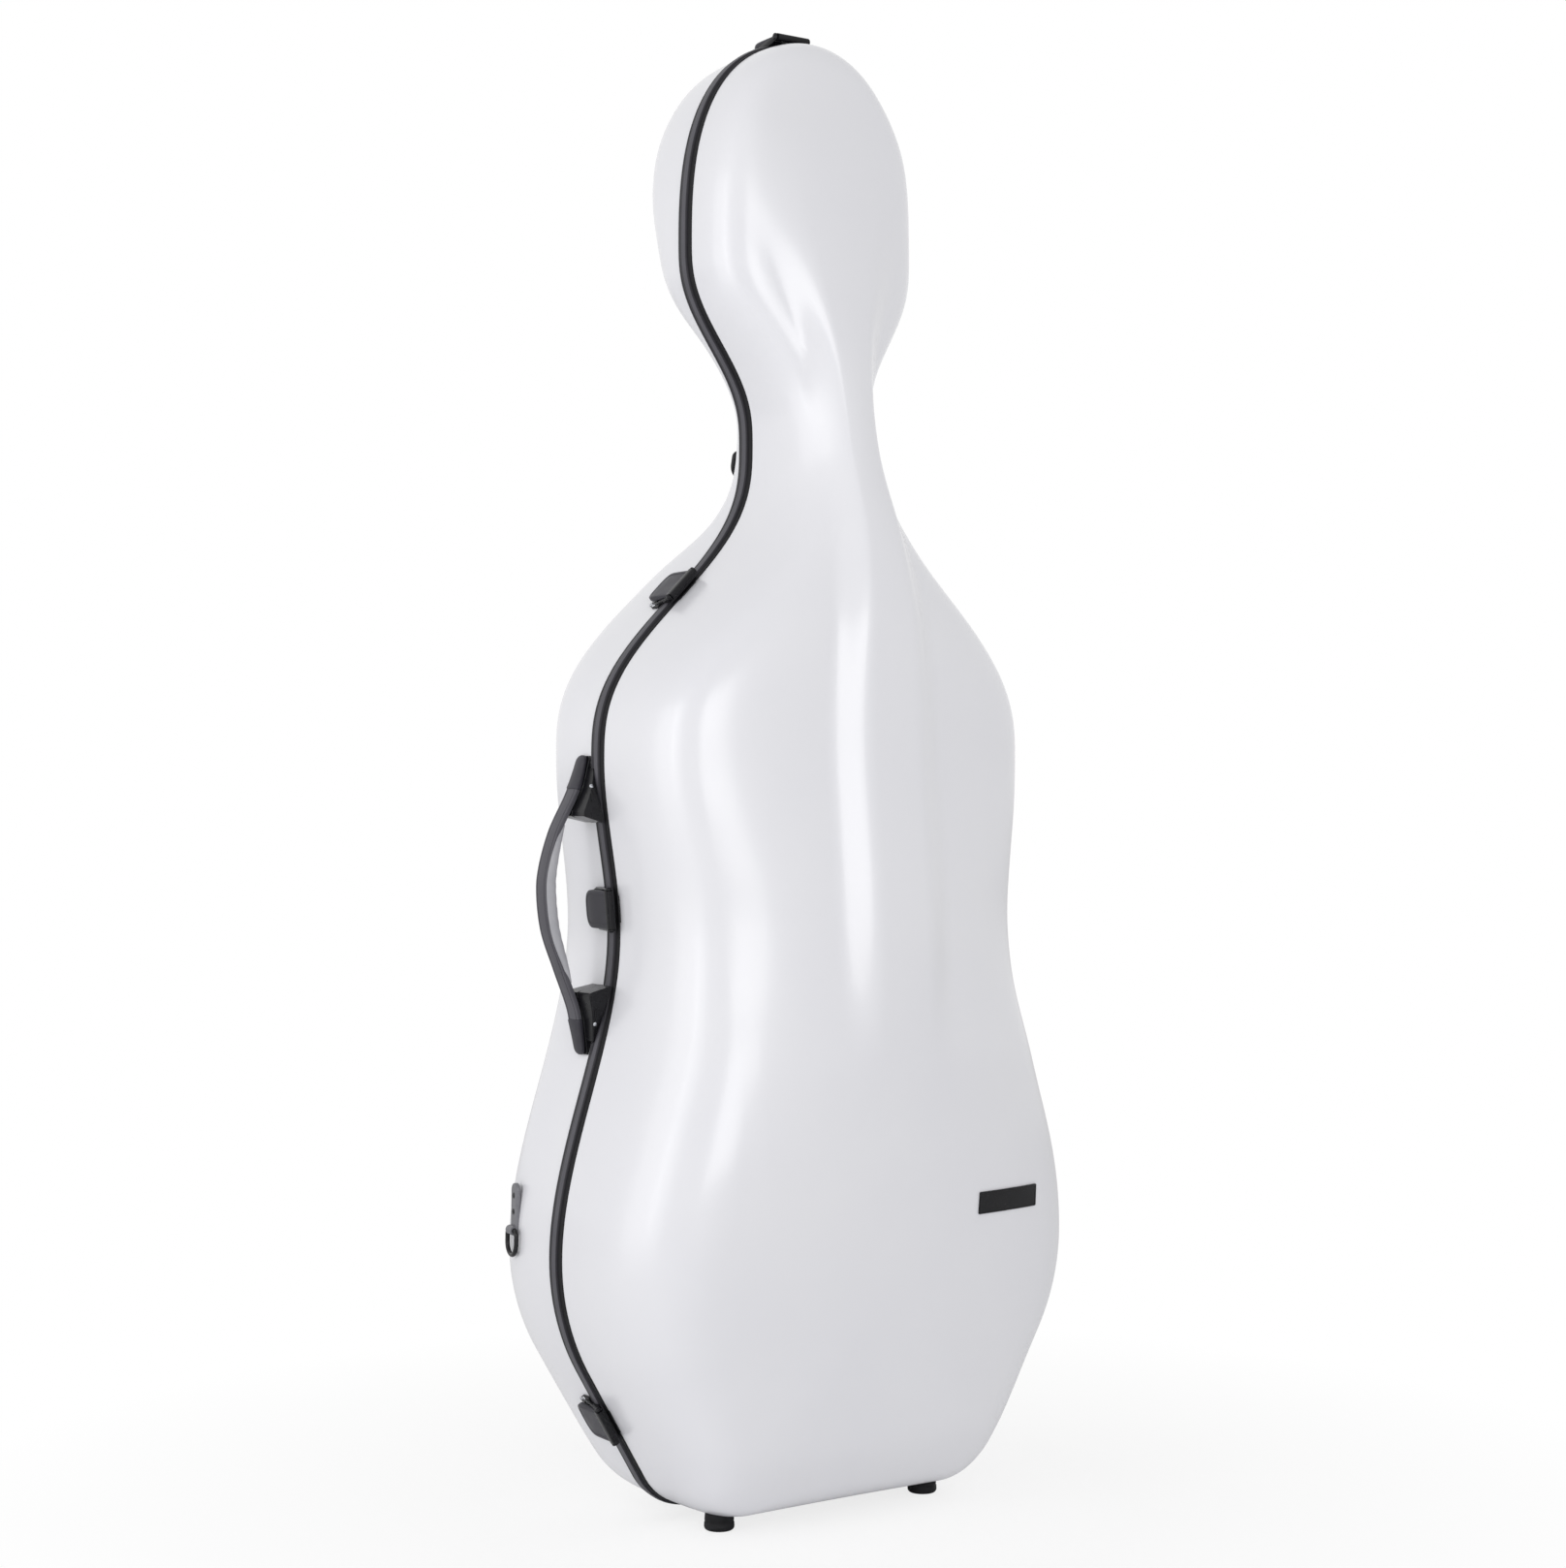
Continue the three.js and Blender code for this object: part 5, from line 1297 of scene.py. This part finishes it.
# blows a block up like foam in a tight sleeve; the result is in millimetres about its own middle
def swollen(width, depth, length):
    shrink, scene = pad["shrink"], bpy.context.scene
    piece = newObject("block", blockMesh(width - shrink, depth - shrink, length - shrink))
    remesh = piece.modifiers.new("remesh", "REMESH")
    remesh.mode, remesh.voxel_size = "VOXEL", pad["voxel"] * unit
    start = applied(piece)
    piece.modifiers.clear()
    piece.data = start
    cloth = piece.modifiers.new("cloth", "CLOTH").settings
    cloth.use_pressure, cloth.uniform_pressure_force = True, pad["pressure"]
    cloth.effector_weights.gravity = 0
    for frameNumber in range(1, pad["frames"] + 1):
        scene.frame_set(frameNumber)
    blown = applied(piece)
    for vertex, rest in zip(blown.vertices, start.vertices):
        move = vertex.co - rest.co
        vertex.co = rest.co + move * min(1, pad["cap"] * unit / max(move.length, 1e-9))
    piece.modifiers.clear()
    piece.data = blown
    scene.frame_set(1)
    smooth = piece.modifiers.new("smooth", "SUBSURF")
    smooth.levels = smooth.render_levels = 1
    mesh = applied(piece)
    bpy.data.objects.remove(piece)
    mesh.transform(Matrix.Scale(1 / unit, 4))
    return mesh


# stitch lines drawn into the sleeve at places along z
def stitch(mesh, places):
    moves = []
    for vertex in mesh.vertices:
        shares = [between(-1, (vertex.co.z - z) / pad["stitchWidth"], 1) for z in places]
        pull = max(0, *[cos(share * pi / 2) for share in shares])
        moves.append(vertex.normal * -pad["stitchDepth"] * pull ** 2)
    for vertex, move in zip(mesh.vertices, moves):
        vertex.co += move


# a round cord along a closed path that stays level in y
def tube(bm, path, radius, steps=8):
    rings = []
    for k, p in enumerate(path):
        along = (path[(k + 1) % len(path)] - path[k - 1]).normalized()
        side = along.cross(Vector((0, 1, 0))).normalized()
        up = side.cross(along)
        rings.append([p + side * a + up * b for a, b in circle(radius, steps)])
    addGrid(bm, rings, loop=True)


def addCushion(node, mesh, x, z, sign=1):
    centre = Vector((x * sign, pad["start"] + pad["depth"] / 2, z))
    bm = bmesh.new()
    for vertex in mesh.vertices:
        vertex.co = baseCavity.press(*(Vector((vertex.co.x * sign, vertex.co.y, vertex.co.z)) + centre))
    bm.from_mesh(mesh)
    bmesh.ops.recalc_face_normals(bm, faces=bm.faces)
    tree = BVHTree.FromBMesh(bm)
    level = centre.y - pad["depth"] / 2 * pad["pipingDepth"]
    ring = [v.co for v in bm.verts if abs(v.co.y - level) < pad["voxel"]]
    middle = Vector([(min(p[axis] for p in ring) + max(p[axis] for p in ring)) / 2 for axis in range(3)])
    # set a little off the mesh's own rows, so that no ray runs along an edge
    deeper, higher = pad["rayShift"]
    middle += Vector((0, level - middle.y + deeper, higher))
    ways = [Vector((a, 0, b)) for a, b in circle(1, pad["pipingSteps"])]
    far, sink = pad["rayReach"], pad["pipingSink"]
    path = [tree.ray_cast(middle + way * far, -way)[0] - way * sink for way in ways]
    piping = bmesh.new()
    tube(piping, path, pad["pipingRadius"])
    merge(bm, piping)
    addPiece(node, bm, 80)


def addCushions():
    sideHeight = seam["upperBoutHeight"] + pad["rise"]
    wall, floor = halfWidthAt(sideHeight) + linedFace, seam["bottomHeight"] - linedFace
    side = swollen(pad["sideThickness"] * 2, pad["depth"], pad["sideLength"])
    stitch(side, (-pad["sideLength"] / 6, pad["sideLength"] / 6))
    end = swollen(pad["endLength"], pad["depth"], pad["endThickness"] * 2)
    stitch(end, (pad["endThickness"] * pad["endStitch"],))
    for name, sign in (("left", -1), ("right", 1)):
        addCushion(f"side_cushion_{name}", side.copy(), wall, sideHeight, sign)
        addCushion(f"end_cushion_{name}", end.copy(), pad["endSpacing"] / 2, floor, sign)
    addCushion("endpin_pad", swollen(pad["padWidth"], pad["depth"], pad["padThickness"] * 2), 0, floor)


addCushions()
print("cushions")


# Neck cradle and strap

cradle = dict(
    drop=35, length=64, topDepth=12.3, groove=19, round=5, lip=3, endShare=0.97, endPower=6, steps=20,
    depth=120, strapWidth=38, strapThickness=2.5, overlap=12, fold=15, bow=0.6, seamInset=3,
    threadRadius=0.35, strapLevels=[(0.5, 0), (0, 0.4), (0, 0.5), (0.5, 0.9)],
)
cradleHeight = seam["neckHeight"] - cradle["drop"]


def addCradle():
    half = halfWidthAt(cradleHeight) + liner["thickness"]
    lip, power = cradle["lip"], cradle["endPower"]
    rings = []
    for i in range(cradle["steps"] + 1):
        along = cos(i / cradle["steps"] * pi)
        full = (1 - abs(along * cradle["endShare"]) ** power) ** (1 / power)
        soft = cradle["round"] * (1 - full)
        level, radius = cradle["topDepth"] + lip + soft, cradle["groove"] + soft * 0.8
        edge = [(radius + lip + lip * cos(a), level - lip * sin(a)) for a in (0.5, 1, 1.57, 2.1, 2.7)]
        edge.insert(0, (half, level))
        groove = arcPoints(0, 0, radius, 0, pi, 18)[1:-1]
        ring = edge + [(x, level + y * (radius - 1) / radius) for x, y in groove] + mirrored(edge)
        ring += [(x * half, cradle["depth"] * full) for x in (-1, -0.5, 0, 0.5, 1)]
        z = cradleHeight + along * cradle["length"] / 2
        rings.append([baseCavity.press(x, y, z) for x, y in ring])
    bm = bmesh.new()
    addSkin(bm, rings)
    tidy(bm)
    addPiece("neck_cradle", bm, 70)


# webbing with a folded, box-stitched end on each side of the groove
def addNeckStrap():
    reach, low = cradle["groove"] + cradle["overlap"], cradle["topDepth"] - shell["gap"]
    half, thick, fold = cradle["strapWidth"] / 2, cradle["strapThickness"], cradle["fold"]
    bm = bmesh.new()

    def layer(start, end, base, bow):
        def place(x, z, level):
            y = low - base - bow * cos(x / reach * pi / 2) - level * thick * 0.5
            return (x, y, cradleHeight + z)

        addPlate(bm, (start, end, half, 1, 1), cradle["strapLevels"], place, 3, 10)

    layer(-reach, reach, 0, cradle["bow"])
    for start, end in ((-reach, fold - reach), (reach - fold, reach)):
        layer(start, end, thick * 0.5, 0)
        # the stitched box: a flat cord of thread let into the fold
        inset = cradle["seamInset"]
        left, right, side = start + inset, end - inset, half - inset
        corners = [(left, side), (right, side), (right, -side), (left, -side)]
        ring = [Vector((x, low - thick, cradleHeight + z)) for x, z in corners]
        path = [a.lerp(b, k / 6) for a, b in zip(ring, ring[1:] + ring[:1]) for k in range(6)]
        tube(bm, path, cradle["threadRadius"], 6)
    piece = addPiece("neck_strap", bm, 40)


addCradle()
addNeckStrap()
print("cradle")


# Bow holders in the lid

bow = dict(
    spacing=124, rise=159, length=46, width=40, thickness=30, groove=8, round=3, clipWidth=12,
    clipLevels=[(0.5, 0), (0, 0.5), (0, 2.6), (0.3, 3.2), (0.9, 3.5)], clipGap=0.3, postRadius=2.5,
    postLength=12, sleeveRise=35, sleeveLength=50, sleeveSpacing=28, sleeveRadius=9, sleeveWall=3,
    sleeveEdge=0.9,
    # how far a holder's back reaches past the lining before it is pressed in
    backing=20,
)


def addBowBlock(side, sign):
    height, middle = seam["lowerBoutHeight"] + bow["rise"], sign * bow["spacing"] / 2
    floor = lidCavity.depth(middle, height)
    top = floor - bow["thickness"]
    half, groove, soft = bow["width"] / 2, bow["groove"], bow["round"]
    edge = [(half, top + soft)]
    edge += [(half - soft + soft * cos(a), top + soft - soft * sin(a)) for a in (0.5, 1, 1.57)]
    edge += [(groove + 1.5, top), (groove + 0.4, top + 0.4)]
    section = edge + arcPoints(0, top + 1, groove, 0, pi, 14) + mirrored(edge)
    section += [(x * half, floor + bow["backing"]) for x in (-1, -0.5, 0, 0.5, 1)]
    rings = []
    for u in [cos(i / 8 * pi) for i in range(9)]:
        tight = 1 - soft / half * max(0, abs(u) - 0.75) * 2
        z = height + u * bow["length"] / 2
        rings.append([lidCavity.press(middle + x * tight, -y, z) for x, y in section])
    block, clip, post = bmesh.new(), bmesh.new(), bmesh.new()
    addSkin(block, rings)
    tidy(block)
    addPiece(f"bow_block_{side}", block, 60)
    end = bow["clipWidth"] / 2
    box = (-groove * 2 - end * 2, end, end, end - 0.05, end - 0.05)
    addPlate(clip, box, bow["clipLevels"], lambda x, z, y: (x * sign, y + bow["clipGap"] - top, z), 8, 6)
    addLathe(post, rodProfile(bow["postRadius"], 1 - bow["postLength"], 0, 0.4), 24)
    merge(clip, post, at(0, -top, 0) @ Matrix.Rotation(pi / 2, 4, "X"))
    addPiece(f"bow_clip_{side}", clip, 35, at(middle + sign * (half + groove) / 2, 0, height))


def addBowSleeve():
    height = seam["neckHeight"] + bow["sleeveRise"]
    half, length = bow["sleeveSpacing"] / 2, bow["sleeveLength"] / 2
    outer = bow["sleeveRadius"] + bow["sleeveWall"]
    floor = lidCavity.depth(half, height)
    centre = floor - outer
    outside = [(x, 2 * centre - y) for x, y in arcPoints(half, centre, outer, 0, pi / 2, 8)]
    outside += mirrored(outside)
    outside += [(-half - outer, floor + bow["backing"]), (half + outer, floor + bow["backing"])]
    block, bores = bmesh.new(), bmesh.new()
    addSkin(block, [[lidCavity.press(x, -y, height + z) for x, y in outside] for z in (-length, length)])
    for x in (-half, half):
        bore = bmesh.new()
        addLathe(bore, [(bow["sleeveRadius"], -length - 5), (bow["sleeveRadius"], length + 5)], 32)
        merge(bores, bore, at(x, -centre, height))
    bm = bmesh.new()
    bm.from_mesh(cutAway(block, bores))
    tidy(bm)
    bevelEdges(bm, bow["sleeveEdge"], 2, 50)
    addPiece("bow_tip_sleeve", bm, 60)


for side, sign in (("left", -1), ("right", 1)):
    addBowBlock(side, sign)
addBowSleeve()
print("bow holders")


# Studio

studio = dict(
    camera=(-1.46604, -2.05422, 0.6561), turnDegrees=-35, lens=63.41, sensor=36,
    floorColour="#FFFFFF", floorReach=30, shadowReach=(0.3, 0.85), shadowShare=0.22, ambient=0.63,
    backdrop="#FFFFFF",
    # softboxes: place, size in metres and the light they give
    boxes=dict(
        front=dict(place=(-1.42, -3.02, 1.25), size=(1.4, 1.56), watts=24),
        side=dict(place=(-3.2, -0.1, 1.35), size=(0.16, 1.8), watts=4),
        fill=dict(place=(-3.5, 0.3, 1.2), size=(2.5, 2.4), watts=25),
    ),
)


def addSoftbox(name, box):
    light = bpy.data.lights.new(name, "AREA")
    light.shape, light.energy = "RECTANGLE", box["watts"]
    light.size, light.size_y = box["size"]
    holder = newObject(name, light)
    holder.location = box["place"]
    x, y, z = box["place"]
    holder.rotation_euler = Vector((-x, -y, 0)).to_track_quat("-Z", "Y").to_euler()
    holder.visible_camera = False


def addBackdrop():
    world = bpy.data.worlds.new("studio")
    world.use_nodes = True
    tree = world.node_tree
    tree.nodes.clear()
    seen = addNode(tree, "ShaderNodeLightPath", "Is Camera Ray")
    for ray in ("Is Glossy Ray", "Is Transmission Ray"):
        other = addNode(tree, "ShaderNodeLightPath", ray)
        seen = addNode(tree, "ShaderNodeMath", operation="MAXIMUM", In__0=seen, In__1=other)
    strength = addNode(tree, "ShaderNodeMapRange", In__0=seen, In__3=studio["ambient"])
    background = addNode(tree, "ShaderNodeBackground", Color=linear(studio["backdrop"]), Strength=strength)
    addNode(tree, "ShaderNodeOutputWorld", Surface=background)
    bpy.context.scene.world = world


def addFloor():
    reach = studio["floorReach"]
    mesh = bpy.data.meshes.new("studio_floor")
    corners = [(x * reach, y * reach, 0) for x, y in ((-1, -1), (1, -1), (1, 1), (-1, 1))]
    mesh.from_pydata(corners, [], [range(4)])
    material, tree = newMaterial("palePaperFloor")
    # the paper keeps the object's shadow near it and runs out to the backdrop's white further off
    place = addNode(tree, "ShaderNodeTexCoord", "Object")
    away = addNode(tree, "ShaderNodeVectorMath", "Value", operation="LENGTH", In__0=place)
    start, end = studio["shadowReach"]
    dark = studio["shadowShare"]
    near = addNode(tree, "ShaderNodeMapRange", In__0=away, In__1=start, In__2=end, In__3=dark, In__4=0)
    seen = addNode(tree, "ShaderNodeLightPath", "Is Camera Ray")
    hidden = addNode(tree, "ShaderNodeMath", operation="SUBTRACT", In__0=1, In__1=seen)
    share = addNode(tree, "ShaderNodeMath", operation="MAXIMUM", In__0=near, In__1=hidden)
    paper = addNode(tree, "ShaderNodeBsdfDiffuse", Color=linear(studio["floorColour"]))
    white = addNode(tree, "ShaderNodeEmission", Color=linear(studio["backdrop"]), Strength=1)
    mixed = addNode(tree, "ShaderNodeMixShader", In__0=share, In__1=white, In__2=paper)
    addNode(tree, "ShaderNodeOutputMaterial", Surface=mixed)
    mesh.materials.append(material)
    newObject("studio_floor", mesh)


def addCamera():
    camera = bpy.data.cameras.new("camera")
    camera.lens, camera.sensor_width = studio["lens"], studio["sensor"]
    holder = newObject("camera", camera)
    holder.location = studio["camera"]
    holder.rotation_euler = (pi / 2, 0, radians(studio["turnDegrees"]))
    bpy.context.scene.camera = holder


for name, box in studio["boxes"].items():
    addSoftbox(name, box)
addBackdrop()
addFloor()
addCamera()
bpy.context.scene.view_settings.view_transform = "Standard"
print("studio")
